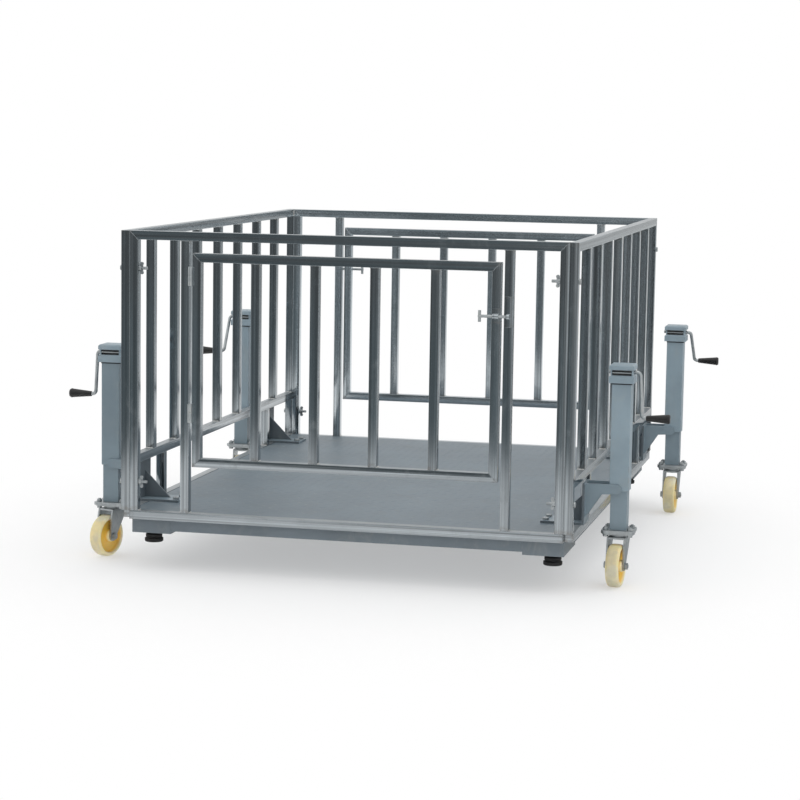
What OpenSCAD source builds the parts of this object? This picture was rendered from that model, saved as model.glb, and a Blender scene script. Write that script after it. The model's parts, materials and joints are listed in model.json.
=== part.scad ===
// Livestock weighing crate: a checker-plate weighing deck on four load cells,
// a fence of square tube bolted round it, a hinged gate at each end with a slide bolt,
// and four crank jacks that carry swivel casters, so that the crate can be wheeled away.
// Millimetres. Origin on the ground at the centre of the deck, X to the right along the
// front, Y to the back, Z up. Shown standing on its casters.

/* [Show] */
// Which node is drawn; all draws the whole crate

/* [Platform] */
// Width of the platform
deck_w = 1500; // [1200:10:1800]
// Length of the platform
deck_l = 2000; // [1600:10:2600]
// Height of the deck above the ground, standing on the casters
deck_z = 206; // [200:1:240]
// Thickness of the deck plate
plate_t = 5; // [3:0.5:10]
// Slot between the deck plate and the side sills
deck_slot = 4; // [2:0.5:8]
// Height of the frame channels under the deck
beam_h = 66; // [60:1:80]
// Width of the frame channels
beam_w = 40; // [30:1:60]
// Wall of the frame channels
beam_t = 5; // [3:0.5:8]
// Cross ribs under the deck
rib_count = 4; // [2:1:6]
// Height of a cross rib
rib_h = 55; // [40:1:60]
// Foot housing, across the platform
housing_w = 140; // [120:1:180]
// Foot housing, along the platform
housing_l = 240; // [200:1:280]
// How far a foot housing hangs below the channels
housing_drop = 10; // [4:1:25]
// Wall of a foot housing
housing_t = 4; // [3:0.5:8]

/* [Load cells and feet] */
// Load cell, length
cell_l = 118; // [110:1:120]
// Load cell, width and height
cell_w = 32; // [28:1:40]
// Block between the load cell and the deck
cell_block_t = 12; // [8:1:16]
// Centre of a foot, in from the platform's sides
foot_in_x = 50; // [45:1:75]
// Centre of a foot, in from the platform's ends
foot_in_y = 85; // [60:1:86]
// Diameter of a rubber foot
foot_d = 64; // [56:1:80]
// Height of a rubber foot
foot_h = 40; // [30:1:46]
// Diameter of the foot stud
stud_d = 12; // [10:1:16]

/* [Fence] */
// Outside size of the square tube
tube = 30; // [25:1:40]
// Wall of the square tube
tube_t = 2; // [1.5:0.5:4]
// Height of the fence above the deck
fence_h = 956; // [800:1:1400]
// Clear height under the lower side rail
side_clear = 150; // [140:1:220]
// Upright bars in each side
side_bars = 7; // [4:1:9]
// Short legs under the lower side rail, in from the platform's ends
leg_in = 350; // [320:5:500]
// Upper corner bolts, above the deck
bolt_hi = 829; // [500:1:900]
// Lower corner bolts, above the deck
bolt_lo = 98; // [60:1:120]
// Diameter of the corner bolts
bolt_d = 10; // [8:1:12]

/* [Gates] */
// From the platform's side to the gate opening
gate_in = 212; // [150:1:300]
// Gap between the gate and each gate post
gate_gap = 11; // [9:0.5:14]
// Gap between the gate and the top rail
gate_top_gap = 41; // [20:1:80]
// Clear height under the gate
gate_clear = 160; // [100:1:220]
// Upright bars in a gate
gate_bars = 4; // [2:1:6]
// Upper hinges, above the deck
hinge_hi = 808; // [500:1:840]
// Lower hinges, above the deck
hinge_lo = 344; // [240:1:400]
// Length of a hinge
hinge_len = 63; // [50:1:80]
// Hinge axis in front of the gate's face
hinge_out = 6; // [5:0.5:8]
// Diameter of the hinge pin
hinge_pin_d = 8; // [6:0.5:9]
// Height of the slide bolt above the deck
latch_z = 709; // [450:1:760]
// Diameter of the slide bolt
latch_d = 10; // [8:0.5:12]
// Travel of the slide bolt
latch_stroke = 20; // [15:1:22]
// Width of the keeper and guide plates
keep_w = 26; // [20:1:28]
// Height of a keeper plate
keep_h = 100; // [60:1:120]
// Thickness of the keeper and guide plates
keep_t = 3; // [2:0.5:5]

/* [Jacks] */
// Jack axis, out from the platform's side
jack_out = 150; // [148:1:190]
// Jack axis, in from the platform's ends
jack_in = 222; // [140:1:280]
// Outside size of the jack's outer tube
jack_w = 65; // [60:1:75]
// Wall of the jack tubes
jack_t = 4; // [3:0.5:5]
// Lower end of the outer tube
jack_z0 = 323; // [315:1:340]
// Upper end of the outer tube
jack_z1 = 687; // [670:1:740]
// Width of the gear head
head_w = 84; // [80:1:96]
// Height of the gear head's collar
collar_h = 26; // [24:1:30]
// Height of the narrow part between collar and cap
neck_h = 18; // [18:1:24]
// Height of the gear head's cap
cap_h = 18; // [17:1:30]
// Bevel round the top of the collar and the cap
head_bevel = 5; // [2:0.5:7]
// Upper end of the inner leg tube
leg_top = 502; // [480:1:520]
// Thickness of the leg's foot plate
leg_plate_t = 10; // [6:1:12]
// Size of the leg's foot plate
leg_plate_w = 110; // [100:1:116]
// Diameter of the lead screw
screw_d = 20; // [16:1:24]
// Lower end of the lead screw
screw_z0 = 362; // [330:1:380]

/* [Cranks] */
// Diameter of the crank rod
crank_d = 12; // [10:0.5:13]
// Shaft, from the jack axis to the bend
crank_reach = 58; // [57:0.5:70]
// Drop of the crank arm
crank_drop = 153; // [120:1:200]
// Outward slope of the crank arm over its length
crank_slope = 8; // [0:0.5:24]
// Radius of the crank's bends
crank_bend = 14; // [10:0.5:18]
// Length of the grip
grip_l = 80; // [60:1:100]
// Diameter of the grip at its inner end
grip_d0 = 18; // [16:0.5:22]
// Diameter of the grip at its outer end
grip_d1 = 33; // [24:0.5:38]
// Crank angle at the front left, from straight down towards the back
turn_fl = 0; // [-180:1:180]
// Crank angle at the front right
turn_fr = 0; // [-180:1:180]
// Crank angle at the rear left
turn_rl = -22; // [-180:1:180]
// Crank angle at the rear right
turn_rr = 38; // [-180:1:180]

/* [Gears] */
// Module of the gears
gear_m = 2; // [1.8:0.05:2]
// Teeth of the pinion on the crank shaft
pinion_n = 10; // [10:1:10]
// Teeth of the face gear on the lead screw
face_n = 20; // [20:1:20]
// Face width of the gears
gear_w = 5; // [4:0.5:5]

/* [Casters] */
// Height of a caster
caster_h = 182; // [180:1:195]
// Diameter of the wheels
wheel_d = 146; // [125:1:150]
// Width of the wheels
wheel_w = 46; // [36:1:50]
// Trail of the casters
trail = 40; // [30:1:42]
// Diameter of the wheel axles
axle_d = 12; // [10:0.5:14]
// Size of a caster's plate, across
caster_plate_w = 105; // [100:1:110]
// Size of a caster's plate, along
caster_plate_l = 85; // [80:1:100]
// Thickness of the caster's plate and fork
caster_t = 6; // [4:0.5:7]
// Swivel of the front left caster, anticlockwise from above
swivel_fl = -17; // [-180:1:180]
// Swivel of the front right caster
swivel_fr = -4; // [-180:1:180]
// Swivel of the rear left caster
swivel_rl = 6; // [-180:1:180]
// Swivel of the rear right caster
swivel_rr = 0; // [-180:1:180]

/* [Brackets] */
// Thickness of the bracket's deck flange and upright
bracket_t = 8; // [6:0.5:10]
// Width of the bracket
bracket_w = 110; // [100:1:130]
// Length of the deck flange, in from the fence
flange_l = 140; // [120:1:170]
// Height of the bracket above the deck
bracket_h = 140; // [120:1:145]
// Thickness of the bracket's arms
arm_t = 6; // [4:0.5:8]
// Size of the bracket's inner gusset
gusset = 95; // [60:1:110]
// Diameter of the flange bolts
flange_bolt_d = 12; // [10:1:14]

/* [Junction box] */
// Junction box, across the platform
box_w = 160; // [120:1:200]
// Junction box, along the platform
box_l = 110; // [80:1:140]
// Height of the junction box
box_h = 42; // [30:1:60]

/* [Clearances] */
// Gap left for a weld or between pieces that are bolted together
weld = 0.2; // [0.1:0.05:0.3]
// Radial clearance of a pin, shaft or screw that turns in its bore
run = 0.1; // [0.05:0.01:0.1]
// Gap between faces that pass each other
near = 0.3; // [0.2:0.05:0.4]
// Clearance of the foot housings' walls round the flange nuts
nut_clear = 1.5; // [0.5:0.1:2.5]
// Clearance of the leg in the outer tube, on each side
leg_fit = 0.5; // [0.3:0.1:0.8]
// Radial clearance of a bolt in its hole
bolt_fit = 0.5; // [0.3:0.1:1]

/* [Hidden] */

$fn = 48;
steel = "#9aa0a4";
zinc = "#b4b6b2";
paint = "#7b8b95";
deck_grey = "#7f8a92";
dark = "#5c656b";
black = "#1e1f20";
cream = "#d2cba0";
big = 4 * tube;

// jack order: front left, front right, rear left, rear right
jack_sx = [-1, 1, -1, 1];
jack_sy = [-1, -1, 1, 1];
turns = [turn_fl, turn_fr, turn_rl, turn_rr];
swivels = [swivel_fl, swivel_fr, swivel_rl, swivel_rr];

// platform levels
under_deck = deck_z - plate_t;
beam_z = under_deck - beam_h;
housing_z = beam_z - housing_drop;
housing_h = under_deck - weld - housing_z;
beam_l_x = deck_w - 2 * housing_w - 2 * weld;
beam_l_y = deck_l - 2 * housing_l - 2 * weld;
rib_l = deck_w - 2 * beam_w - 2 * weld;
rib_step = (deck_l - 2 * beam_w) / (rib_count + 1);

// load cells and feet
foot_x = deck_w / 2 - foot_in_x;
foot_y = deck_l / 2 - foot_in_y;
cell_end = 15;
cell_top = under_deck - 2 * weld - cell_block_t;
cell_z = cell_top - cell_w;
cell_bolt_d = 10;
cell_bolt_gap = 26;
cell_bolt_in = 14;
cell_hole_d = 18;
cell_hole_y = 48;
block_l = 55;
foot_gap = 3;
foot_top = housing_z - foot_gap;
foot_z = foot_top - foot_h;
stud_z = foot_z + 0.4 * foot_h;

// junction box
box_t = 3;
gland_d = 18;
gland_bore = 10;
gland_l = 14;

// fence
fence_top = deck_z + fence_h;
panel_x = deck_w / 2 + weld + tube / 2;
panel_y = deck_l / 2 + weld + tube / 2;
corner_x = deck_w / 2 - tube / 2;
leg_y = deck_l / 2 - leg_in;
side_rail_z = deck_z + side_clear + tube / 2;
side_bar_gap = (2 * panel_y - tube - side_bars * tube) / (side_bars + 1);
side_bar_z0 = side_rail_z + tube / 2 + weld;
side_bar_l = fence_top - tube - weld - side_bar_z0;
cap_plate_t = 2;
bolt_zs = [deck_z + bolt_lo, deck_z + bolt_hi];
nut_h = 9;
bolt_over = 20;

// gates, in the plane of an end panel
gate_open = deck_w - 2 * gate_in;
gate_w = gate_open - 2 * gate_gap;
gate_z0 = deck_z + gate_clear;
gate_z1 = fence_top - tube - gate_top_gap;
gate_h = gate_z1 - gate_z0;
gate_post_x = gate_open / 2 + tube / 2;
gate_bar_gap = (gate_w - 2 * tube - gate_bars * tube) / (gate_bars + 1);
hinge_x = -(gate_open - gate_gap) / 2;
hinge_y = -(tube / 2 + hinge_out);
hinge_r = norm([gate_gap / 2, hinge_out]) - near;
hinge_zs = [deck_z + hinge_lo, deck_z + hinge_hi];
latch_y = -(tube / 2 + weld + keep_t + 0.5 + latch_d / 2);
latch_h = deck_z + latch_z;
loop_d = latch_d + 8;
loop_bore = latch_d + 2 * near;
keeper_x = gate_open / 2 + tube / 2;
keeper_loop = 10;
guide_x = gate_w / 2 - tube / 2;
guide_loop = 20;
guide_h = 50;
latch_tip = keeper_x - keeper_loop / 2 - 2;
handle_d = 10;
handle_l = 38;
handle_gap = 18;
latch_l = latch_tip + latch_stroke + handle_d + handle_gap - (guide_x - guide_loop / 2);

// jacks, each in a frame of its own with X pointing out from the platform
jack_x = deck_w / 2 + jack_out;
jack_y = deck_l / 2 - jack_in;
fence_out = panel_x + tube / 2 - jack_x;
leg_w = jack_w - 2 * jack_t - 2 * leg_fit;
leg_z0 = caster_h;
neck_w = 60;
neck_in = 50;
cheek_t = 4;
cheek_w = head_w - 2 * head_bevel;
collar_z = jack_z1 + weld;
neck_z = collar_z + collar_h;
cap_z = neck_z + neck_h + weld;
pinion_r = gear_m * pinion_n / 2;
face_r = gear_m * face_n / 2;
gear_add = 0.6 * gear_m;
gear_ded = 0.9 * gear_m;
tooth_half = 0.5 * gear_m;
tooth_lean = tan(20);
shaft_z = neck_z + neck_h / 2;
pitch_z = shaft_z - pinion_r;
face_top = pitch_z - gear_ded;
face_t = 6;
face_out = face_r + gear_w / 2 + 1;
bearing_t = 4.5;
pocket_z = face_top - face_t - bearing_t - 2 * weld;
pocket_d = 2 * face_out + 4;
nut_w = leg_w - 2 * jack_t - 2 * weld;
nut_t = 24;
stub = head_w / 2 + 6;
spindle_d = crank_d - 2;
grip_x0 = crank_reach + crank_slope + crank_bend + 1;

// brackets
arm_z1 = deck_z + bracket_h;
arm_in = fence_out + weld + bracket_t;
arm_end = 10;
arm_round = 16;
arm_clear = 3;
arm_root = 22;
flange_bolt_in = 15;
flange_bolt_x = fence_out - flange_l + flange_bolt_in;
flange_bolt_y = 32;
flange_nut_h = 0.8 * flange_bolt_d;
flange_tail = 4;

// casters, each in a frame of its own at the swivel axis
fork_square = 14;
fork_heel = 6;
fork_heel_z = 26;
plate_tail = 3;
race_d = 66;
race_h = 4;
crown_h = 4;
king_d = 14;
king_head_d = 22;
king_head_h = 5;
plate_z = caster_h - weld - caster_t;
race_z = plate_z - race_h;
crown_top = race_z - near;
crown_z = crown_top - crown_h;
king_len = plate_z + 2 * caster_t - crown_z + near;
fork_in = wheel_w / 2 + 2.5;
fork_out = fork_in + caster_t;
fork_front = 33;
fork_back = 44;
axle_z = wheel_d / 2;
axle_boss = 17;
plate_bolt_d = 10;
plate_round = 14;
plate_bolt_x = caster_plate_w / 2 - 12;
plate_bolt_y = caster_plate_l / 2 - 12;

// square tube standing on z = 0
module tube_z(l) {
  linear_extrude(l) difference() {
    square(tube, center = true);
    square(tube - 2 * tube_t, center = true);
  }
}

// square tube along X, centred
module tube_x(l) {
  translate([-l / 2, 0, 0]) rotate([90, 0, 90]) tube_z(l);
}

// tube along Z with mitred ends; its long side faces +X
module mitred_tube(l, low, high) {
  difference() {
    tube_z(l);
    if (high) translate([tube / 2, 0, l - weld]) rotate([0, -45, 0])
      translate([-big / 2, -big / 2, 0]) cube(big);
    if (low) translate([tube / 2, 0, weld]) rotate([0, 45, 0])
      translate([-big / 2, -big / 2, -big]) cube(big);
  }
}

// horizontal tube with a plate welded over each end
module sill_tube(l) {
  tube_x(l - 2 * (cap_plate_t + weld));
  for (s = [-1, 1])
    translate([s * (l - cap_plate_t) / 2, 0, 0]) cube([cap_plate_t, tube, tube], center = true);
}

module hex_head(d, h) {
  cylinder(d = 1.9 * d, h = h, $fn = 6);
}

// bolt along Z: head below z = 0, shank upwards
module bolt_up(d, l) {
  translate([0, 0, -0.65 * d]) hex_head(d, 0.65 * d);
  translate([0, 0, -0.1]) cylinder(d = d, h = l + 0.1);
}

module hex_nut(d) {
  difference() {
    hex_head(d, 0.8 * d);
    translate([0, 0, -1]) cylinder(d = d + weld, h = d + 2);
  }
}

// places: end panels, sides, corners, jacks, casters
module at_end(e) {
  rotate([0, 0, 180 * e]) translate([0, -panel_y, 0]) children();
}

module at_side(s) {
  rotate([0, 0, 90 * s]) translate([0, -panel_x, 0]) children();
}

module at_corners() {
  for (a = [0, 180]) rotate([0, 0, a]) {
    children();
    mirror([0, 1, 0]) children();
  }
}

module at_jack(i) {
  translate([jack_sx[i] * jack_x, jack_sy[i] * jack_y, 0])
    rotate([0, 0, jack_sx[i] > 0 ? 0 : 180]) children();
}

module at_jacks() {
  for (i = [0:3]) at_jack(i) children();
}

// crank angle seen in the jack's own frame
function turn_of(i) = jack_sx[i] * turns[i];

module at_caster(i) {
  translate([jack_sx[i] * jack_x, jack_sy[i] * jack_y, 0]) rotate([0, 0, swivels[i]]) children();
}

// platform
module deck_plate() {
  color(deck_grey) difference() {
    translate([0, 0, under_deck + plate_t / 2])
      cube([deck_w - 2 * deck_slot, deck_l, plate_t], center = true);
    at_jacks() flange_holes();
  }
}

module channel(l) {
  rotate([90, 0, 90]) linear_extrude(l) difference() {
    square([beam_w, beam_h]);
    translate([beam_t, beam_t]) square([beam_w, beam_h - 2 * beam_t]);
  }
}

module platform_frame() {
  color(dark) {
    for (a = [0, 180]) {
      rotate([0, 0, a]) translate([-beam_l_x / 2, -deck_l / 2, beam_z - weld]) channel(beam_l_x);
      rotate([0, 0, a - 90]) translate([-beam_l_y / 2, -deck_w / 2, beam_z - weld]) channel(beam_l_y);
    }
    for (k = [1:rib_count])
      translate([-rib_l / 2, k * rib_step - deck_l / 2 + beam_w, under_deck - weld - rib_h / 2])
        rotate([90, 0, 90]) linear_extrude(rib_l) difference() {
          square([beam_w, rib_h], center = true);
          square([beam_w - 2 * beam_t, rib_h - 2 * beam_t], center = true);
        }
  }
}

module foot_housings() {
  color(dark) at_corners() {
    translate([deck_w / 2 - housing_w / 2, deck_l / 2 - housing_l / 2, housing_z])
      for (s = [-1, 1]) translate([s * (housing_w - housing_t) / 2, 0, housing_h / 2])
        cube([housing_t, housing_l - 2 * housing_t - 2 * weld, housing_h], center = true);
    for (y = [deck_l / 2 - housing_t / 2, deck_l / 2 - housing_l + housing_t / 2]) difference() {
      translate([deck_w / 2 - housing_w / 2, y, housing_z + housing_h / 2])
        cube([housing_w, housing_t, housing_h], center = true);
      translate([jack_x, jack_y, 0]) nut_reliefs();
    }
    difference() {
      translate([foot_x - cell_w / 2, foot_y + cell_end - cell_l, cell_top + weld])
        cube([cell_w, block_l, cell_block_t]);
      cell_holes();
    }
  }
}

module cell_bolt_places() {
  for (k = [0, 1])
    translate([foot_x, foot_y + cell_end - cell_l + cell_bolt_in + k * cell_bolt_gap, cell_z]) children();
}

module cell_holes() {
  cell_bolt_places() translate([0, 0, -1])
    cylinder(d = cell_bolt_d + 2 * bolt_fit, h = cell_w + cell_block_t + 3);
}

module load_cells() {
  color(zinc) at_corners() difference() {
    translate([foot_x - cell_w / 2, foot_y + cell_end - cell_l, cell_z]) cube([cell_w, cell_l, cell_w]);
    cell_holes();
    translate([foot_x, foot_y, cell_z - 1]) cylinder(d = stud_d + 2 * bolt_fit, h = cell_w + 2);
    translate([foot_x, foot_y - cell_hole_y, cell_z + cell_w / 2]) rotate([0, 90, 0])
      cylinder(d = cell_hole_d, h = cell_w + 2, center = true);
  }
}

module load_cell_bolts() {
  color(zinc) at_corners() cell_bolt_places() translate([0, 0, -weld])
    bolt_up(cell_bolt_d, cell_w + cell_block_t + weld);
}

module foot_studs() {
  color(zinc) at_corners() translate([foot_x, foot_y, 0]) {
    translate([0, 0, stud_z]) cylinder(d = stud_d, h = cell_top - stud_z);
    translate([0, 0, cell_z - weld - 0.8 * stud_d]) hex_nut(stud_d);
  }
}

module rubber_feet() {
  color(black) at_corners() translate([foot_x, foot_y, foot_z]) rotate_extrude() polygon([
    [0, 0], [foot_d / 2 - 2, 0], [foot_d / 2, 2], [foot_d / 2, 0.3 * foot_h],
    [foot_d / 2 - 4, 0.36 * foot_h], [0.42 * foot_d, 0.42 * foot_h], [0.45 * foot_d, 0.46 * foot_h],
    [0.45 * foot_d, 0.64 * foot_h], [0.41 * foot_d, 0.7 * foot_h], [0.3 * foot_d, 0.74 * foot_h],
    [0.27 * foot_d, foot_h],
    [stud_d / 2 + weld, foot_h], [stud_d / 2 + weld, 0.4 * foot_h - weld], [0, 0.4 * foot_h - weld]
  ]);
}

module at_box() {
  translate([deck_w / 5, 0, under_deck - weld]) children();
}

module junction_box() {
  color(black) at_box() {
    difference() {
      translate([-box_w / 2, -box_l / 2, -box_h]) cube([box_w, box_l, box_h]);
      translate([box_t - box_w / 2, box_t - box_l / 2, -box_h - 1])
        cube([box_w - 2 * box_t, box_l - 2 * box_t, box_h - box_t + 1]);
      translate([box_w / 2 - 2 * box_t, 0, -box_h / 2]) rotate([0, 90, 0])
        cylinder(d = gland_bore, h = 4 * box_t);
    }
    translate([box_w / 2 + weld, 0, -box_h / 2]) rotate([0, 90, 0]) difference() {
      union() {
        hex_head(0.67 * gland_d, 0.4 * gland_l);
        cylinder(d = gland_d, h = gland_l);
      }
      translate([0, 0, -1]) cylinder(d = gland_bore, h = gland_l + 2);
    }
  }
}

module junction_lid() {
  color(dark) at_box() translate([-box_w / 2, -box_l / 2, -box_h - box_t - weld])
    cube([box_w, box_l, box_t]);
}

// sides of the fence, drawn in the XZ plane with the outside towards -Y
module side_frame() {
  rail_l = 2 * panel_y + tube;
  for (s = [0, 180]) {
    rotate([0, 0, s]) difference() {
      translate([panel_y, 0, deck_z]) mitred_tube(fence_h, false, true);
      for (z = bolt_zs) translate([panel_y, 0, z]) rotate([90, 0, 0])
        cylinder(d = bolt_d + 2 * bolt_fit, h = 2 * tube, center = true);
    }
    translate([leg_y * (s - 90) / 90, 0, deck_z + weld]) tube_z(side_clear - 2 * weld);
  }
  translate([rail_l / 2, 0, fence_top - tube / 2]) rotate([0, -90, 0]) mitred_tube(rail_l, true, true);
  translate([0, 0, side_rail_z]) tube_x(2 * panel_y - tube - 2 * weld);
  translate([0, 0, deck_z - tube / 2]) sill_tube(deck_l);
}

module side_bar_set() {
  for (k = [1:side_bars])
    translate([k * (side_bar_gap + tube) - panel_y, 0, side_bar_z0]) tube_z(side_bar_l);
}

module left_side_frame() {
  color(steel) at_side(-1) side_frame();
}

module left_side_bars() {
  color(steel) at_side(-1) side_bar_set();
}

module right_side_frame() {
  color(steel) at_side(1) side_frame();
}

module right_side_bars() {
  color(steel) at_side(1) side_bar_set();
}

// ends of the fence
module end_frame() {
  post_l = fence_h - weld;
  for (s = [0, 180]) {
    rotate([0, 0, s]) difference() {
      translate([corner_x, 0, deck_z + weld]) mitred_tube(post_l, false, true);
      for (z = bolt_zs) translate([corner_x, 0, z]) rotate([0, 90, 0])
        cylinder(d = bolt_d + 2 * bolt_fit, h = 2 * tube, center = true);
    }
    rotate([0, 0, s]) translate([gate_post_x, 0, deck_z + weld]) tube_z(fence_h - tube - 2 * weld);
  }
  translate([deck_w / 2, 0, fence_top - tube / 2]) rotate([0, -90, 0]) mitred_tube(deck_w, true, true);
  translate([0, 0, deck_z - tube / 2]) sill_tube(deck_w);
}

module front_frame() {
  color(steel) at_end(0) end_frame();
}

module rear_frame() {
  color(steel) at_end(1) end_frame();
}

// corner bolts run out of the end posts through the side posts
module at_corner_bolts() {
  at_corners() for (z = bolt_zs) translate([panel_x + tube / 2 + weld, panel_y, z])
    rotate([0, -90, 0]) children();
}

module corner_bolts() {
  color(zinc) at_corner_bolts() bolt_up(bolt_d, 2 * tube + 3 * weld + nut_h + bolt_over);
}

module corner_nuts() {
  color(zinc) at_corner_bolts() translate([0, 0, 2 * tube + 3 * weld]) difference() {
    union() {
      cylinder(d = 2 * bolt_d, h = nut_h);
      for (s = [-1, 1]) {
        translate([s * 1.5 * bolt_d, 2, nut_h]) rotate([90, 0, 0]) cylinder(d = 1.2 * bolt_d, h = 4);
        translate([s * bolt_d, 0, nut_h - 1]) cube([bolt_d, 4, bolt_d], center = true);
      }
    }
    translate([0, 0, -1]) cylinder(d = bolt_d + weld, h = 3 * nut_h);
  }
}

// gate hinges: the post carries the lower knuckle and the pin
module at_hinges() {
  for (z = hinge_zs) translate([hinge_x, hinge_y, z - hinge_len / 2]) children();
}

module hinge_pins() {
  color(zinc) for (e = [0, 1]) at_end(e) at_hinges() {
    cylinder(r = hinge_r, h = hinge_len / 2);
    cylinder(d = hinge_pin_d, h = hinge_len - 1);
  }
}

module gate_hinges() {
  at_hinges() translate([0, 0, hinge_len / 2 + near]) difference() {
    cylinder(r = hinge_r, h = hinge_len / 2 - near);
    translate([0, 0, -1]) cylinder(d = hinge_pin_d + 2 * run, h = hinge_len);
  }
}

module gate_frame() {
  for (s = [0, 180])
    rotate([0, 0, s]) translate([(gate_w - tube) / 2, 0, gate_z0]) mitred_tube(gate_h, true, true);
  translate([gate_w / 2, 0, gate_z1 - tube / 2]) rotate([0, -90, 0]) mitred_tube(gate_w, true, true);
  translate([-gate_w / 2, 0, gate_z0 + tube / 2]) rotate([0, 90, 0]) mitred_tube(gate_w, true, true);
}

module gate_bar_set() {
  for (k = [1:gate_bars])
    translate([k * (gate_bar_gap + tube) - (gate_w - tube) / 2, 0, gate_z0 + tube + weld])
      tube_z(gate_h - 2 * tube - 2 * weld);
}

// plate with a loop for the slide bolt, on the front of a tube
module bolt_loop(plate_h, plate_up, loop_l) {
  difference() {
    union() {
      translate([-keep_w / 2, -tube / 2 - weld - keep_t, latch_h - plate_h / 2 + plate_up])
        cube([keep_w, keep_t, plate_h]);
      translate([-loop_l / 2, latch_y, latch_h]) rotate([0, 90, 0]) cylinder(d = loop_d, h = loop_l);
      translate([-loop_l / 2, latch_y, latch_h - loop_d / 2])
        cube([loop_l, -tube / 2 - weld - latch_y - keep_t / 2, loop_d]);
    }
    translate([-keep_w, latch_y, latch_h]) rotate([0, 90, 0]) cylinder(d = loop_bore, h = 2 * keep_w);
    translate([0, 0, latch_h]) cube([2 * keep_w, tube + 2 * weld, 2 * keep_h], center = true);
  }
}

module latch_keepers() {
  color(steel) for (e = [0, 1]) at_end(e) translate([keeper_x, 0, 0])
    bolt_loop(keep_h, 0.15 * keep_h, keeper_loop);
}

module latch_guide() {
  translate([guide_x, 0, 0]) bolt_loop(guide_h, 0, guide_loop);
}

module latch_bolt() {
  translate([latch_tip - latch_l, latch_y, latch_h]) {
    rotate([0, 90, 0]) cylinder(d = latch_d, h = latch_l);
    translate([handle_d / 2, 0, 0]) cylinder(d = handle_d, h = handle_l, center = true);
  }
}

module front_gate_frame() {
  color(steel) at_end(0) gate_frame();
}

module front_gate_bars() {
  color(steel) at_end(0) gate_bar_set();
}

module front_gate_hinges() {
  color(zinc) at_end(0) gate_hinges();
}

module front_latch_guide() {
  color(steel) at_end(0) latch_guide();
}

module front_latch_bolt() {
  color(zinc) at_end(0) latch_bolt();
}

module rear_gate_frame() {
  color(steel) at_end(1) gate_frame();
}

module rear_gate_bars() {
  color(steel) at_end(1) gate_bar_set();
}

module rear_gate_hinges() {
  color(zinc) at_end(1) gate_hinges();
}

module rear_latch_guide() {
  color(steel) at_end(1) latch_guide();
}

module rear_latch_bolt() {
  color(zinc) at_end(1) latch_bolt();
}

// jacks
module square_tube(w, t, l) {
  linear_extrude(l) difference() {
    square(w, center = true);
    square(w - 2 * t, center = true);
  }
}

module jack_tubes() {
  color(paint) at_jacks() translate([0, 0, jack_z0]) square_tube(jack_w, jack_t, jack_z1 - jack_z0);
}

// block with bevelled upper edges
module bevelled_block(w, h) {
  b = head_bevel;
  outline = [
    [-w / 2, 0], [w / 2, 0], [w / 2, h - b], [w / 2 - b, h], [b - w / 2, h], [-w / 2, h - b]
  ];
  intersection() {
    rotate([90, 0, 0]) translate([0, 0, -w]) linear_extrude(2 * w) polygon(outline);
    rotate([90, 0, 90]) translate([0, 0, -w]) linear_extrude(2 * w) polygon(outline);
  }
}

module jack_heads() {
  color(paint) at_jacks() difference() {
    union() {
      translate([0, 0, collar_z]) bevelled_block(head_w, collar_h);
      translate([-neck_w / 2, -neck_w / 2, neck_z - 1]) cube([neck_w, neck_w, neck_h + 1]);
      for (s = [-1, 1]) translate([s * (head_w / 2 - head_bevel - cheek_t / 2), 0, neck_z + neck_h / 2 - 0.5])
        cube([cheek_t, cheek_w, neck_h + 1], center = true);
    }
    translate([0, 0, neck_z]) linear_extrude(neck_h + 1) square(neck_in, center = true);
    translate([0, 0, pocket_z]) cylinder(d = pocket_d, h = neck_z - pocket_z + 1);
    translate([0, 0, collar_z - 1]) cylinder(d = screw_d + 2 * run, h = collar_h);
    translate([-head_w, 0, shaft_z]) rotate([0, 90, 0]) cylinder(d = crank_d + 2 * run, h = 2 * head_w);
  }
}

module jack_caps() {
  color(paint) at_jacks() translate([0, 0, cap_z]) difference() {
    bevelled_block(head_w, cap_h);
    translate([0, 0, -1]) linear_extrude(cap_h - 4) square(neck_in, center = true);
  }
}

module screw_bearings() {
  color(zinc) at_jacks() translate([0, 0, pocket_z + weld]) difference() {
    cylinder(d = pocket_d - 4, h = bearing_t);
    translate([0, 0, -1]) cylinder(d = screw_d + 2 * near, h = bearing_t + 2);
  }
}

module flange_holes() {
  for (s = [-1, 1]) translate([flange_bolt_x, s * flange_bolt_y, under_deck - 1])
    cylinder(d = flange_bolt_d + 2 * bolt_fit, h = plate_t + bracket_t + 2);
}

// room under the deck for the flange nuts and the ends of their bolts
module nut_reliefs() {
  depth = weld + flange_nut_h + flange_tail + nut_clear;
  for (s = [-1, 1]) translate([flange_bolt_x, s * flange_bolt_y, under_deck - depth])
    cylinder(d = 1.9 * flange_bolt_d + 2 * nut_clear, h = depth + 1);
}

module jack_brackets() {
  flange_z = deck_z + weld;
  color(paint) at_jacks() difference() {
    union() {
      translate([fence_out - flange_l, -bracket_w / 2, flange_z])
        cube([flange_l + weld + bracket_t, bracket_w, bracket_t]);
      translate([fence_out + weld, -bracket_w / 2, flange_z])
        cube([bracket_t, bracket_w, arm_z1 - flange_z]);
      translate([fence_out + weld + 1, arm_t / 2, flange_z + bracket_t - 1]) rotate([90, 0, 0])
        linear_extrude(arm_t) polygon([[0, 0], [-gusset, 0], [0, gusset]]);
      for (s = [-1, 1]) translate([0, s * (jack_w / 2 + weld + arm_t / 2) + arm_t / 2, 0])
        rotate([90, 0, 0]) linear_extrude(arm_t) bracket_arm();
    }
    flange_holes();
  }
}

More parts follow.
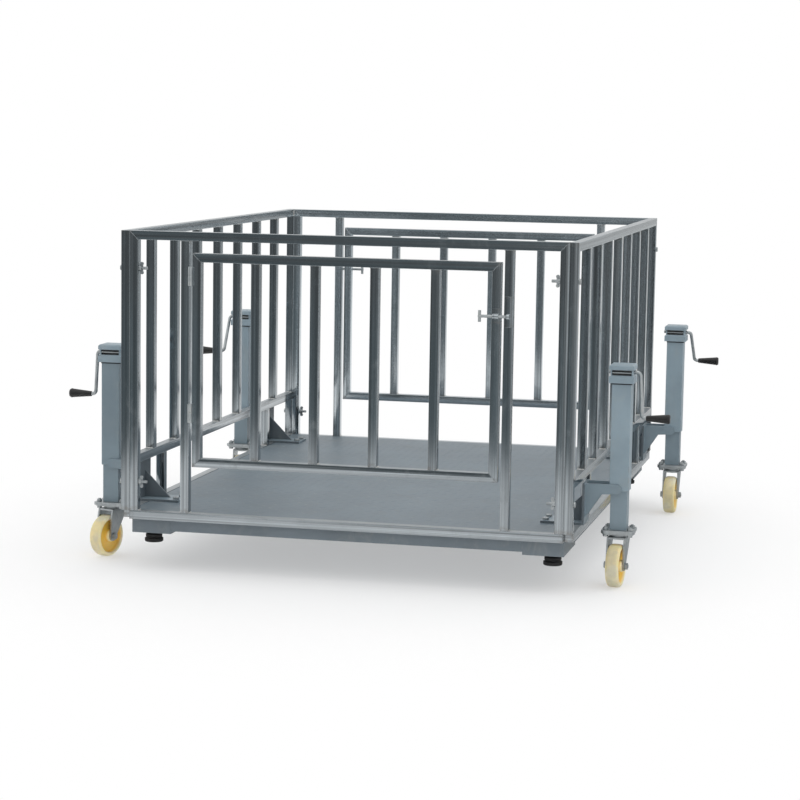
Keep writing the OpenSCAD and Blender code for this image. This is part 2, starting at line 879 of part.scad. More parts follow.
// arm plate in X and Z: straight top, sloping lower edge, round end on the jack tube
module bracket_arm() {
  arm_x = arm_end - arm_round;
  polygon([
    [arm_in - 1, arm_z1], [arm_x, arm_z1], [arm_x, arm_z1 - 2 * arm_round],
    [-leg_plate_w / 2 - arm_clear, arm_z1 - 2 * arm_round - arm_clear], [arm_in - 1, deck_z + arm_root]
  ]);
  translate([arm_x, arm_z1 - arm_round]) circle(arm_round);
}

module bracket_bolts() {
  color(zinc) at_jacks() for (s = [-1, 1]) translate([flange_bolt_x, s * flange_bolt_y, 0]) {
    translate([0, 0, deck_z + bracket_t + 2 * weld]) rotate([180, 0, 0])
      bolt_up(flange_bolt_d, plate_t + bracket_t + 3 * weld + flange_nut_h + flange_tail);
    translate([0, 0, under_deck - weld - flange_nut_h]) hex_nut(flange_bolt_d);
  }
}

// rod of diameter d through points in X and Z, with bends of radius r that lap over its straights
module bent_rod(p, d, r) {
  n = len(p);
  lap = 2;
  ang = [for (i = [0:n - 2]) atan2(p[i + 1][1] - p[i][1], p[i + 1][0] - p[i][0])];
  cut = [for (i = [0:n - 1]) i == 0 || i == n - 1 ? 0 : r * tan(abs(ang[i] - ang[i - 1]) / 2)];
  rotate([90, 0, 0]) {
    for (i = [0:n - 2]) translate([p[i][0], p[i][1], 0]) rotate([0, 0, ang[i]])
      translate([cut[i], 0, 0]) rotate([0, 90, 0])
        cylinder(d = d, h = norm(p[i + 1] - p[i]) - cut[i] - cut[i + 1]);
    for (i = [1:n - 2]) {
      bend = ang[i] - ang[i - 1];
      side = bend > 0 ? 1 : -1;
      translate([p[i][0], p[i][1], 0]) rotate([0, 0, ang[i - 1]]) translate([-cut[i], side * r, 0])
        rotate([0, 0, bend > 0 ? -90 - lap : 90 + bend - lap])
          rotate_extrude(angle = abs(bend) + 2 * lap) translate([r, 0]) circle(d = d + 2 * weld);
    }
  }
}

// spur pinion round X with a tooth pointing straight down
module pinion() {
  rotate([0, 90, 0]) linear_extrude(gear_w) {
    circle(r = pinion_r - gear_ded);
    for (k = [0:pinion_n - 1]) rotate(k * 360 / pinion_n) polygon([
      [pinion_r - gear_ded - 1, -tooth_half - (gear_ded + 1) * tooth_lean],
      [pinion_r + gear_add, -tooth_half + gear_add * tooth_lean],
      [pinion_r + gear_add, tooth_half - gear_add * tooth_lean],
      [pinion_r - gear_ded - 1, tooth_half + (gear_ded + 1) * tooth_lean]
    ]);
  }
}

module crank(i) {
  color(zinc) at_jack(i) translate([0, 0, shaft_z]) rotate([turn_of(i), 0, 0]) {
    bent_rod([[-stub, 0], [crank_reach, 0], [crank_reach + crank_slope, -crank_drop],
      [grip_x0 - 0.5, -crank_drop]], crank_d, crank_bend);
    translate([grip_x0 - 1, 0, -crank_drop]) rotate([0, 90, 0])
      cylinder(d = spindle_d, h = grip_l - 8);
    translate([face_r - gear_w / 2, 0, 0]) pinion();
  }
}

module grip(i) {
  color(black) at_jack(i) translate([0, 0, shaft_z]) rotate([turn_of(i), 0, 0])
    translate([grip_x0, 0, -crank_drop]) rotate([0, 90, 0])
      rotate_extrude() polygon([
        [spindle_d / 2 + run, 0], [grip_d0 / 2 - 1, 0], [grip_d0 / 2, 1], [grip_d1 / 2 - 1, grip_l - 10],
        [grip_d1 / 2, grip_l - 6], [grip_d1 / 2 - 3, grip_l], [0, grip_l],
        [0, grip_l - 7], [spindle_d / 2 + run, grip_l - 7]
      ]);
}

// lead screw with its face gear; the teeth match the crank's angle
module lead_screw(i) {
  tooth_z = -gear_ded - 0.5;
  color(zinc) at_jack(i) rotate([0, 0, turn_of(i) * pinion_n / face_n]) {
    translate([0, 0, screw_z0]) cylinder(d = screw_d, h = face_top - screw_z0);
    translate([0, 0, face_top - face_t]) cylinder(r = face_out, h = face_t);
    for (k = [0:face_n - 1]) rotate([0, 0, (k + 0.5) * 360 / face_n])
      translate([face_r - gear_w / 2, 0, pitch_z]) rotate([90, 0, 90]) linear_extrude(gear_w) polygon([
        [-tooth_half + tooth_z * tooth_lean, tooth_z], [-tooth_half + gear_add * tooth_lean, gear_add],
        [tooth_half - gear_add * tooth_lean, gear_add], [tooth_half - tooth_z * tooth_lean, tooth_z]
      ]);
  }
}

// inner leg with its nut, foot plate, caster plate, king pin and plate bolts
module at_plate_bolts() {
  for (x = [-1, 1], y = [-1, 1]) translate([x * plate_bolt_x, y * plate_bolt_y, 0]) children();
}

module plate_holes() {
  at_plate_bolts() translate([0, 0, plate_z - 1])
    cylinder(d = plate_bolt_d + 2 * bolt_fit, h = caster_t + leg_plate_t + 3);
}

// plate with round corners
module round_plate(w, l, t) {
  linear_extrude(t) offset(plate_round) square([w - 2 * plate_round, l - 2 * plate_round], center = true);
}

module leg(i) {
  color(paint) at_jack(i) {
    difference() {
      union() {
        translate([0, 0, leg_z0 + leg_plate_t - 1])
          square_tube(leg_w, jack_t, leg_top - leg_z0 - leg_plate_t + 1);
        translate([0, 0, leg_z0]) round_plate(leg_plate_w, leg_plate_w, leg_plate_t);
      }
      plate_holes();
    }
    translate([0, 0, leg_top - nut_t]) difference() {
      linear_extrude(nut_t) square(nut_w, center = true);
      translate([0, 0, -1]) cylinder(d = screw_d + 2 * run, h = nut_t + 2);
    }
    difference() {
      union() {
        translate([0, 0, plate_z]) round_plate(caster_plate_w, caster_plate_l, caster_t);
        translate([0, 0, race_z]) cylinder(d = race_d, h = race_h + 1);
      }
      plate_holes();
      translate([0, 0, race_z - 1]) cylinder(d = king_d + weld, h = race_h + caster_t + 2);
    }
    translate([0, 0, crown_z - caster_t - near]) cylinder(d = king_d, h = king_len);
    translate([0, 0, crown_z - caster_t - near - king_head_h]) cylinder(d = king_head_d, h = king_head_h);
    at_plate_bolts() {
      translate([0, 0, plate_z - weld])
        bolt_up(plate_bolt_d, caster_t + leg_plate_t + 3 * weld + 0.8 * plate_bolt_d + plate_tail);
      translate([0, 0, leg_z0 + leg_plate_t + weld]) hex_nut(plate_bolt_d);
    }
  }
}

// caster fork with its axle; the wheel trails towards -Y
module fork_leg() {
  polygon([
    [-fork_back, crown_z], [fork_front, crown_z], [fork_front, crown_z - fork_square],
    [axle_boss - trail, axle_z], [-axle_boss - trail, axle_z], [-fork_back - fork_heel, crown_z - fork_heel_z]
  ]);
  translate([-trail, axle_z]) circle(axle_boss);
}

module fork(i) {
  color(zinc) at_caster(i) {
    difference() {
      union() {
        translate([0, 0, crown_z - 1]) cylinder(d = race_d, h = crown_h + 1);
        translate([-fork_out, -fork_back, crown_z - caster_t])
          cube([2 * fork_out, fork_front + fork_back, caster_t]);
        for (x = [-fork_out, fork_in]) translate([x, 0, 0]) rotate([90, 0, 90])
          linear_extrude(caster_t) fork_leg();
      }
      translate([0, 0, crown_z - caster_t - 1]) cylinder(d = king_d + 2 * run, h = crown_h + caster_t + 2);
      translate([-fork_out - 1, -trail, axle_z]) rotate([0, 90, 0])
        cylinder(d = axle_d + 2 * weld, h = 2 * fork_out + 2);
    }
    translate([-fork_out - weld, -trail, axle_z]) rotate([0, 90, 0])
      bolt_up(axle_d, 2 * fork_out + 2 * weld + 0.8 * axle_d + 2);
    translate([fork_out + weld, -trail, axle_z]) rotate([0, 90, 0]) hex_nut(axle_d);
  }
}

module wheel(i) {
  r = wheel_d / 2;
  w = wheel_w / 2;
  hub_r = 20;
  rim_r = r - 14;
  web = 9;
  color(cream) at_caster(i) translate([0, -trail, axle_z]) rotate([0, 90, 0]) rotate_extrude() polygon([
    [axle_d / 2 + run, -w - 1.5], [hub_r - 2, -w - 1.5], [hub_r, -w], [hub_r + 2, -web], [rim_r - 4, -web],
    [rim_r, -w + 1], [r - 5, -w], [r - 1, 4 - w], [r, 10 - w], [r, w - 10], [r - 1, w - 4], [r - 5, w],
    [rim_r, w - 1], [rim_r - 4, web], [hub_r + 2, web], [hub_r, w], [hub_r - 2, w + 1.5],
    [axle_d / 2 + run, w + 1.5]
  ]);
}

module crank_fl() {
  crank(0);
}

module crank_fr() {
  crank(1);
}

module crank_rl() {
  crank(2);
}

module crank_rr() {
  crank(3);
}

module grip_fl() {
  grip(0);
}

module grip_fr() {
  grip(1);
}

module grip_rl() {
  grip(2);
}

module grip_rr() {
  grip(3);
}

module screw_fl() {
  lead_screw(0);
}

module screw_fr() {
  lead_screw(1);
}

module screw_rl() {
  lead_screw(2);
}

module screw_rr() {
  lead_screw(3);
}

module leg_fl() {
  leg(0);
}

module leg_fr() {
  leg(1);
}

module leg_rl() {
  leg(2);
}

module leg_rr() {
  leg(3);
}

module fork_fl() {
  fork(0);
}

module fork_fr() {
  fork(1);
}

module fork_rl() {
  fork(2);
}

module fork_rr() {
  fork(3);
}

module wheel_fl() {
  wheel(0);
}

module wheel_fr() {
  wheel(1);
}

module wheel_rl() {
  wheel(2);
}

module wheel_rr() {
  wheel(3);
}

deck_plate();
platform_frame();
foot_housings();
load_cells();
load_cell_bolts();
foot_studs();
rubber_feet();
junction_box();
junction_lid();
left_side_frame();
left_side_bars();
right_side_frame();
right_side_bars();
front_frame();
rear_frame();
corner_bolts();
corner_nuts();
hinge_pins();
latch_keepers();
jack_tubes();
jack_heads();
jack_caps();
jack_brackets();
bracket_bolts();
screw_bearings();
front_gate_frame();
front_gate_bars();
front_gate_hinges();
front_latch_guide();
front_latch_bolt();
rear_gate_frame();
rear_gate_bars();
rear_gate_hinges();
rear_latch_guide();
rear_latch_bolt();
crank_fl();
crank_fr();
crank_rl();
crank_rr();
grip_fl();
grip_fr();
grip_rl();
grip_rr();
screw_fl();
screw_fr();
screw_rl();
screw_rr();
leg_fl();
leg_fr();
leg_rl();
leg_rr();
fork_fl();
fork_fr();
fork_rl();
fork_rr();
wheel_fl();
wheel_fr();
wheel_rl();
wheel_rr();
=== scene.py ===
"""Looks of a livestock weighing crate: finishes, rounded edges, small parts, wheels and a stage."""

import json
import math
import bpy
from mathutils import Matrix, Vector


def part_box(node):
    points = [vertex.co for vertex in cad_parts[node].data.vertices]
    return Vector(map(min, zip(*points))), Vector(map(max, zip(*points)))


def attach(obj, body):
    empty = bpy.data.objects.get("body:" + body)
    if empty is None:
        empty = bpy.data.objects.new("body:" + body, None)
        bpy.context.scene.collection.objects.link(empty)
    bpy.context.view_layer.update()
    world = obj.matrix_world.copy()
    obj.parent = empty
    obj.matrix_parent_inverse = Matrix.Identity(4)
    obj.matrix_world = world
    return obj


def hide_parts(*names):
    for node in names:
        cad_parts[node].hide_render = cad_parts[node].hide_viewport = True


bl_info = {
    "name": "Livestock Weighing Crate",
    "version": (1, 0, 0),
    "blender": (4, 5, 0),
    "location": "3D View > Sidebar > Crate",
    "description": "Finishes and small parts of a weighing crate on crank jacks, and a stage",
    "category": "Object",
}

import bmesh
import bpy
from mathutils import Matrix, Vector

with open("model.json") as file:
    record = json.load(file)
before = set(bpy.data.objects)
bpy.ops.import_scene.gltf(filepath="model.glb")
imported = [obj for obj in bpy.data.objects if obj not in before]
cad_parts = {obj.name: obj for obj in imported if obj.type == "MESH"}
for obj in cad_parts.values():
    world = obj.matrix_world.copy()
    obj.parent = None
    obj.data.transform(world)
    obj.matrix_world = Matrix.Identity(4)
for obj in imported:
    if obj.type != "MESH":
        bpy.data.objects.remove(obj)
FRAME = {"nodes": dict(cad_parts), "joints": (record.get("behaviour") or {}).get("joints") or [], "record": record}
NODES = FRAME["nodes"]
BODY_OF = {n: b for b, ns in FRAME["record"]["behaviour"]["bodies"].items() for n in ns}
SLOT_OF = {s["node"]: s["material_slot"] for s in FRAME["record"]["subparts"]}
JOINTS = {j["name"]: j for j in FRAME["joints"]}
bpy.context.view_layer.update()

JACKS = ("fl", "fr", "rl", "rr")
FENCE = [side + part for side in ("left", "right") for part in ("_side_frame", "_side_bars")]
FENCE += ["front_frame", "rear_frame"]
FRONT_GATE = ["front_gate_frame", "front_gate_bars"]
REAR_GATE = ["rear_gate_frame", "rear_gate_bars"]
REAR_END = ["rear_frame", *REAR_GATE]
END_HARDWARE = ("_gate_hinges", "_latch_guide", "_latch_bolt")
HARDWARE = ["corner_bolts", "corner_nuts", "hinge_pins", "latch_keepers"]
HARDWARE += [end + part for end in ("front", "rear") for part in END_HARDWARE]

MM = 0.001
MERGE = 2e-6  # corners of a CAD mesh that lie this close are one
FLAT = math.radians(0.6)  # faces that turn less than this are one
SHARP = math.radians(35)  # edges that turn more than this are rounded
CREASE = math.radians(33)  # edges that turn more than this stay crisp
UPWARD = 0.7  # least upright part of the normal of a face that gathers dust
SENSOR = 36  # width of the camera's sensor in millimetres
WHITE = (1, 1, 1)


# settings


def tone(code):
    """Linear colour of a hex code."""
    parts = [int(code[i : i + 2], 16) / 255 for i in (1, 3, 5)]
    return tuple(p / 12.92 if p <= 0.04045 else ((p + 0.055) / 1.055) ** 2.4 for p in parts)


def number(label, text, default, **kind):
    """A number property of some unit or subtype."""
    return bpy.props.FloatProperty(name=label, description=text, default=default, **kind)


def length(label, text, default):
    """A length property in metres."""
    return number(label, text, default, unit="LENGTH", precision=5)


def numbers(label, text, default, **kind):
    """A property of several numbers."""
    return bpy.props.FloatVectorProperty(
        name=label, description=text, default=default, size=len(default), **kind
    )


def colour(label, text, code):
    """A colour property from a hex code."""
    return numbers(label, text, tone(code), subtype="COLOR", min=0, max=1)


class CrateSizes(bpy.types.PropertyGroup):
    """Sizes of the rounded edges and of the small parts."""

    tube_round: length("Tube corner", "Corner radius of the fence tube", 2.6 * MM)
    jack_round: length("Jack corner", "Corner radius of the jack tubes", 4 * MM)
    plate_round: length("Plate edge", "Rounding of plate edges", 1.2 * MM)
    fork_round: length("Fork edge", "Rounding of the caster forks", 0.8 * MM)
    small_round: length("Hardware edge", "Rounding of bolts, hinges and latch", 0.6 * MM)
    tread_pitch: length("Tread pitch", "Distance between the raised marks of the deck", 34 * MM)
    tread_long: length("Tread length", "Length of a raised mark", 27 * MM)
    tread_wide: length("Tread width", "Width of a raised mark", 7 * MM)
    tread_high: length("Tread height", "Height of a raised mark", 0.5 * MM)
    bead: length("Weld bead", "Radius of a weld bead", 2.8 * MM)
    bead_long: length("Weld length", "Length of a weld bead", 24 * MM)
    thread_pitch: length("Thread pitch", "Pitch of the corner bolts' thread", 1.5 * MM)


class CrateColours(bpy.types.PropertyGroup):
    """Colours of the finishes."""

    steel: colour("Fence steel", "Satin steel of the fence", "#adb4b8")
    zinc: colour("Zinc", "Plated bolts, cranks and casters", "#b2b7b9")
    paint: colour("Jack paint", "Blue-grey paint of the jacks", "#8a9ba5")
    deck: colour("Deck paint", "Blue-grey paint of the deck", "#6a7780")
    frame: colour("Frame paint", "Darker paint of the platform frame", "#6b757c")
    bare: colour("Bare metal", "Metal under chipped paint", "#8d9191")
    # the rubber colour also makes the near-black rings painted as shadow under the jack heads
    rubber: colour("Rubber", "Rubber of the feet and seals", "#111213")
    grip: colour("Grip", "Plastic of the crank grips", "#0a0a0b")
    nylon: colour("Wheel", "Cast nylon of the wheels", "#f6edc8")
    # the deeper yellow of the web is painted light, for light through the thin nylon
    web: colour("Wheel web", "Deeper yellow in the wheel's recess", "#f2c232")
    dust: colour("Dust", "Dry dust and scuffs", "#a8a79f")


class CrateStage(bpy.types.PropertyGroup):
    """Camera and light of the stage."""

    lens: number("Lens", "Focal length of the camera", 104.5872, unit="CAMERA")
    eye: numbers("Eye", "Place of the camera", (1.926, -8.461, 1.555), subtype="TRANSLATION")
    yaw: number("Yaw", "Turn from straight ahead", math.radians(-13.361), subtype="ANGLE")
    pitch: number("Pitch", "Look down", math.radians(6.987), subtype="ANGLE")
    roll: number("Roll", "Tilt", math.radians(-0.878), subtype="ANGLE")
    shift: numbers("Shift", "Lens shift in picture widths", (0.0126, 0.0022), subtype="XYZ")
    sky: number("Sky", "Brightness of the white room", 1.0, subtype="FACTOR", max=1)
    dark: number("Dark films", "Light that they let through", 0.2, subtype="FACTOR", max=1)
    lamp: number("Lamp", "Power of the overhead lamp", 55, unit="POWER")
    fill: number("Fill", "Power of the front lamp", 22, unit="POWER")


# shaders


def step(operation, swapped=False):
    """A method of two values that adds one Math node."""

    def method(self, other):
        values = (other, self) if swapped else (self, other)
        return self.finish.add("Math", {"operation": operation}, dict(enumerate(values)))

    return method


class Wire:
    """A shader socket that takes arithmetic."""

    def __init__(self, finish, socket):
        self.finish = finish
        self.socket = socket

    __add__, __radd__ = step("ADD"), step("ADD", True)
    __sub__, __rsub__ = step("SUBTRACT"), step("SUBTRACT", True)
    __mul__, __rmul__ = step("MULTIPLY"), step("MULTIPLY", True)
    __truediv__, __rtruediv__ = step("DIVIDE"), step("DIVIDE", True)
    least, most = step("MINIMUM"), step("MAXIMUM")

    def rise(self, low, high):
        """Smooth step from 0 at low to 1 at high."""
        ends = {0: self, 1: low, 2: high, 3: 0.0, 4: 1.0}
        return self.finish.add("MapRange", {"interpolation_type": "SMOOTHSTEP"}, ends)


class Finish:
    """A node material, or the world, under construction."""

    def __init__(self, owner):
        self.owner = owner
        owner.use_nodes = True
        self.tree = owner.node_tree
        self.tree.nodes.clear()

    def add(self, kind, settings=None, sockets=None, out=0):
        """A node of that type: its settings first, then the values or links of its sockets."""
        node = self.tree.nodes.new("ShaderNode" + kind)
        for key, value in (settings or {}).items():
            setattr(node, key, value)
        for key, value in (sockets or {}).items():
            socket = node.inputs[key]
            if isinstance(value, Wire):
                self.tree.links.new(value.socket, socket)
            elif socket.type == "RGBA" and len(value) == 3:
                socket.default_value = (*value, 1)
            else:
                socket.default_value = value
        return Wire(self, node.outputs[out]) if len(node.outputs) else None

    def place(self):
        """Object coordinates of the piece."""
        return self.add("TexCoord", out="Object")

    def chart(self, name):
        """A UV map of the piece."""
        return self.add("UVMap", {"uv_map": name})

    def mark(self, name):
        """An attribute of the piece."""
        return self.add("Attribute", {"attribute_name": name}, out="Fac")

    def parts(self, vector):
        """X, Y and Z of a vector."""
        first = self.add("SeparateXYZ", None, {0: vector})
        return [Wire(self, socket) for socket in first.socket.node.outputs]

    def stretch(self, vector, scale):
        return self.add("Mapping", None, {"Vector": vector, "Scale": scale})

    def noise(self, vector, scale, detail=2.0, rough=0.5, warp=0.0):
        values = {"Scale": scale, "Detail": detail, "Roughness": rough, "Distortion": warp}
        return self.add("TexNoise", None, {"Vector": vector, **values})

    def blend(self, factor, first, second):
        """Mix of two colours."""
        return self.add("Mix", {"data_type": "RGBA"}, {0: factor, 6: first, 7: second}, 2)

    def surface(self, shade, rough, height, depth, **more):
        """Close the material with a Principled shader, bumped by a height of a depth in metres."""
        bump = self.add("Bump", None, {"Strength": 1.0, "Distance": depth, "Height": height})
        sockets = {"Base Color": shade, "Roughness": rough, "Normal": bump}
        sockets.update({key.replace("_", " "): value for key, value in more.items()})
        return self.close(self.add("BsdfPrincipled", None, sockets))

    def close(self, shader):
        self.add("OutputMaterial", None, {"Surface": shader})
        return self.owner


def begin(name):
    """A new material, and the Object coordinates of the piece that wears it."""
    f = Finish(bpy.data.materials.new(name))
    return f, f.place()


def dim(shade, share):
    """A colour times a number."""
    return tuple(part * share for part in shade)


def satin_steel(name, steel, c):
    """Brushed square tube: lines along it, painted reflection streaks, cloudy dulling, dusty tops, heat marks by
    the welds.
    """
    f, at = begin(name)
    grain = f.chart("grain")
    start, end, _ = f.parts(f.chart("ends"))
    across, own, _ = f.parts(f.chart("face"))
    lines = f.noise(f.stretch(grain, (5, 620, 1)), 1.0, 4.0, 0.62)
    bands = f.noise(f.stretch(grain, (0.7, 62, 1)), 1.0, 2.0)
    # painted reflection: light and dark streaks along the tube stand in for mirrored streaks of the room
    reflection_streak = f.noise(f.stretch(grain, (0.35, 95, 1)), 1.0, 3.0, 0.6).rise(0.36, 0.64)
    cloud = f.noise(at, 5.5, 4.0, 0.6)
    smear = f.noise(f.stretch(at, (1, 1, 0.45)), 21.0, 5.0, 0.66, 0.6)
    specks = f.noise(at, 240.0, 2.0).rise(0.7, 0.8)
    heat = 1 - start.least(end).rise(0.004, 0.02)
    heat = heat * f.noise(at, 60.0, 2.0).rise(0.3, 0.7)
    dusty = f.mark("top") * (0.35 + cloud * 0.6)
    # painted reflection streaks, from half to 1.2 times the steel colour
    shade = f.blend(reflection_streak, dim(steel, 0.5), dim(steel, 1.2))
    shade = f.blend(cloud.rise(0.6, 0.4) * 0.3, shade, dim(steel, 0.7))
    shade = f.blend(own * 0.25, shade, dim(steel, 0.6))
    shade = f.blend((lines - 0.5) * 0.5 + 0.2, shade, dim(steel, 0.7))
    shade = f.blend(smear.rise(0.6, 0.78) * 0.14, shade, dim(c.dust, 0.5))
    shade = f.blend(specks * 0.2, shade, dim(steel, 0.5))
    shade = f.blend(heat * 0.4, shade, (0.2, 0.165, 0.13))
    shade = f.blend(dusty, shade, dim(steel, 0.62))
    rough = 0.06 + lines * 0.07 + smear.rise(0.5, 0.8) * 0.12 + bands * 0.04
    rough = rough + heat * 0.1 + dusty * 0.4
    height = bands * 0.5 + lines * 0.02 - across * across * 0.4
    return f.surface(shade, rough, height, 0.001, Metallic=1 - dusty * 0.85)


def zinc_plate(c):
    """Bright zinc with a faint yellow passivation and dull handling marks."""
    f, at = begin("zinc_plate")
    cloud = f.noise(at, 38.0, 4.0, 0.6, 0.4)
    grainy = f.noise(at, 900.0, 2.0)
    worn = f.noise(at, 120.0, 3.0, 0.7).rise(0.55, 0.75)
    shade = f.blend(cloud.rise(0.35, 0.65), dim(c.zinc, 0.8), c.zinc)
    shade = f.blend(cloud.rise(0.52, 0.72) * 0.35, shade, (0.44, 0.43, 0.38))
    shade = f.blend(worn * 0.45, shade, dim(c.zinc, 0.4))
    shade = f.blend(f.mark("edge") * 0.3, shade, (0.7, 0.7, 0.68))
    rough = 0.36 + cloud * 0.14 + worn * 0.14
    return f.surface(shade, rough, grainy + cloud, 0.00006, Metallic=1.0)


def chipped_paint(name, base, c, dusty, chips, gloss):
    """Sprayed paint: orange peel, clouding, dust, and chips along the edges that show metal."""
    f, at = begin(name)
    peel = f.noise(at, 430.0, 2.0)
    cloud = f.noise(at, 4.2, 4.0, 0.58)
    dust = f.noise(f.stretch(at, (1, 1, 0.6)), 17.0, 6.0, 0.68, 0.5).rise(0.48, 0.8)
    speck = f.noise(at, 310.0, 3.0, 0.7).rise(0.7, 0.76)
    chip = f.mark("edge") * f.noise(at, 70.0, 5.0, 0.7).rise(0.52, 0.6) * chips
    chip = chip.most(f.noise(at, 46.0, 6.0, 0.75).rise(0.735, 0.75) * chips)
    shade = f.blend(cloud.rise(0.3, 0.7), dim(base, 0.88), dim(base, 1.07))
    shade = f.blend(dust * dusty, shade, c.dust)
    shade = f.blend(speck * 0.3, shade, dim(base, 0.55))
    shade = f.blend(chip, shade, c.bare)
    rough = gloss + dust * 0.22 + cloud * 0.1 - chip * 0.05
    height = peel * 0.4 + cloud - chip * 1.2
    metal = chip * 0.8
    return f.surface(shade, rough, height, 0.00012, Metallic=metal, Specular_IOR_Level=0.45)


def worn_tread(c):
    """Raised marks of the deck: the same paint, rubbed lighter on top."""
    f, at = begin("worn_tread")
    rub = f.noise(at, 9.0, 4.0, 0.6).rise(0.35, 0.75)
    fine = f.noise(at, 160.0, 3.0, 0.65)
    shade = f.blend(rub * 0.2, c.deck, c.dust)
    shade = f.blend(fine.rise(0.6, 0.7) * rub * 0.3, shade, c.bare)
    return f.surface(shade, 0.5 - rub * 0.08, fine, 0.00008)


def foot_rubber(c):
    """Dull black rubber with a dusty bloom."""
    f, at = begin("foot_rubber")
    bloom = f.noise(at, 30.0, 5.0, 0.65)
    pits = f.noise(at, 700.0, 2.0)
    shade = f.blend(bloom.rise(0.45, 0.8) * 0.12, c.rubber, dim(c.dust, 0.5))
    return f.surface(shade, 0.55 + bloom * 0.3, pits + bloom, 0.0001)


def grip_plastic(c):
    """Moulded black plastic, polished by hands."""
    f, at = begin("grip_plastic")
    mould = f.noise(at, 520.0, 2.0)
    rub = f.noise(at, 34.0, 4.0, 0.62)
    shade = f.blend(rub.rise(0.5, 0.8) * 0.06, c.grip, dim(c.dust, 0.4))
    return f.surface(shade, 0.26 + rub * 0.3, mould * 0.5 + rub, 0.00007)


def wheel_nylon(c):
    """Cream cast nylon, deeper yellow in the recess as painted light through the thin web, soiled on the tread."""
    f, at = begin("wheel_nylon")
    web, tread = f.mark("web"), f.mark("tread")
    flow = f.noise(at, 20.0, 4.0, 0.6, 0.8)
    soil = f.noise(at, 55.0, 5.0, 0.7).rise(0.45, 0.7)
    grime = f.noise(at, 11.0, 3.0, 0.6).rise(0.42, 0.6)
    scuff = f.noise(at, 210.0, 3.0, 0.7).rise(0.6, 0.72)
    aged = f.noise(at, 14.0, 2.0, 0.5, 0.6).rise(0.42, 0.62)
    shade = f.blend(flow.rise(0.3, 0.7), dim(c.nylon, 0.92), c.nylon)
    shade = f.blend(aged * 0.65, shade, (0.9, 0.72, 0.28))
    # painted light: the deeper yellow of the web stands in for light passing through the thin nylon
    shade = f.blend(web * (0.7 + flow * 0.3), shade, c.web)
    shade = f.blend(tread * (soil * 0.12 + grime * 0.3 + 0.26), shade, (0.42, 0.4, 0.34))
    shade = f.blend(scuff * 0.12, shade, (0.24, 0.21, 0.16))
    return f.surface(
        shade,
        0.36 + flow * 0.14 + tread * soil * 0.22,
        flow + soil * 0.3,
        0.0002,
        Subsurface_Weight=0.3,
        Subsurface_Radius=(0.012, 0.008, 0.003),
        Subsurface_Scale=1.0,
    )


def box_plastic(c):
    """Textured dark plastic of the junction box."""
    f, at = begin("box_plastic")
    spark = f.noise(at, 620.0, 2.0)
    dust = f.noise(at, 24.0, 5.0, 0.65).rise(0.45, 0.8)
    shade = f.blend(dust * 0.25, dim(c.grip, 2.2), dim(c.dust, 0.6))
    return f.surface(shade, 0.5 + dust * 0.2, spark, 0.0001)


def cell_nickel(_):
    """Nickel plate of the load cells."""
    f, at = begin("cell_nickel")
    lines = f.noise(f.stretch(at, (400, 8, 400)), 1.0, 3.0)
    cloud = f.noise(at, 30.0, 3.0)
    shade = f.blend(cloud, (0.52, 0.49, 0.43), (0.62, 0.6, 0.54))
    return f.surface(shade, 0.24 + lines * 0.14, lines, 0.00003, Metallic=1.0)


def weld_metal(_):
    """Weld bead: silvery, with brown and blue heat colour."""
    f, at = begin("weld_metal")
    heat = f.noise(at, 110.0, 3.0, 0.6)
    shade = f.blend(heat.rise(0.5, 0.7), (0.72, 0.72, 0.7), (0.4, 0.37, 0.34))
    shade = f.blend(heat.rise(0.66, 0.78) * 0.6, shade, (0.2, 0.22, 0.3))
    return f.surface(shade, 0.3 + heat * 0.2, heat, 0.0003, Metallic=1.0)


def slot_shade(_):
    """Painted shade: near-black, blotched, in the slots of the gear heads, where the shadow falls."""
    f, at = begin("slot_shade")
    blot = f.noise(at, 60.0, 4.0, 0.65, 0.5)
    shade = f.blend(blot.rise(0.4, 0.7), (0.012, 0.012, 0.013), (0.05, 0.05, 0.05))
    return f.surface(shade, 0.3 + blot * 0.25, blot, 0.0004)


def paint(name, base, dusty, chips, gloss):
    """A maker of chipped paint in one of the colours, base(c)."""
    return lambda c: chipped_paint(name, base(c), c, dusty, chips, gloss)


FINISHES = {
    "satin_steel": lambda c: satin_steel("satin_steel", c.steel, c),
    # a lighter copy of the steel for the rear frame and gate: painted light
    "lit_rear_steel": lambda c: satin_steel("lit_rear_steel", dim(c.steel, 1.45), c),
    "zinc": zinc_plate,
    "blue_grey_paint": paint("blue_grey_paint", lambda c: c.paint, 0.22, 0.55, 0.36),
    # a darker copy of the jack paint: painted shade, for the legs under the platform, the front left jack tube and
    # the bracket arms
    "shaded_jack_paint": paint("shaded_jack_paint", lambda c: dim(c.paint, 0.8), 0.12, 0.5, 0.32),
    # a darker copy of the frame paint: painted shade on the gussets and upright plates inside the fence
    "gusset_shade_paint": paint("gusset_shade_paint", lambda c: dim(c.frame, 0.72), 0.12, 0.5, 0.36),
    "deck_paint": paint("deck_paint", lambda c: c.deck, 0.34, 0.35, 0.42),
    "frame_paint": paint("frame_paint", lambda c: c.frame, 0.3, 0.5, 0.4),
    "worn_tread": worn_tread,
    "foot_rubber": foot_rubber,
    "grip_plastic": grip_plastic,
    "wheel_nylon": wheel_nylon,
    "box_plastic": box_plastic,
    "cell_steel": cell_nickel,
    "weld_metal": weld_metal,
    "slot_shade": slot_shade,
}
MADE = {}


def finish(name, scene):
    """The named material, made at its first use."""
    if name not in MADE:
        MADE[name] = FINISHES[name](scene.crate_colours)
    return MADE[name]


# mesh helpers


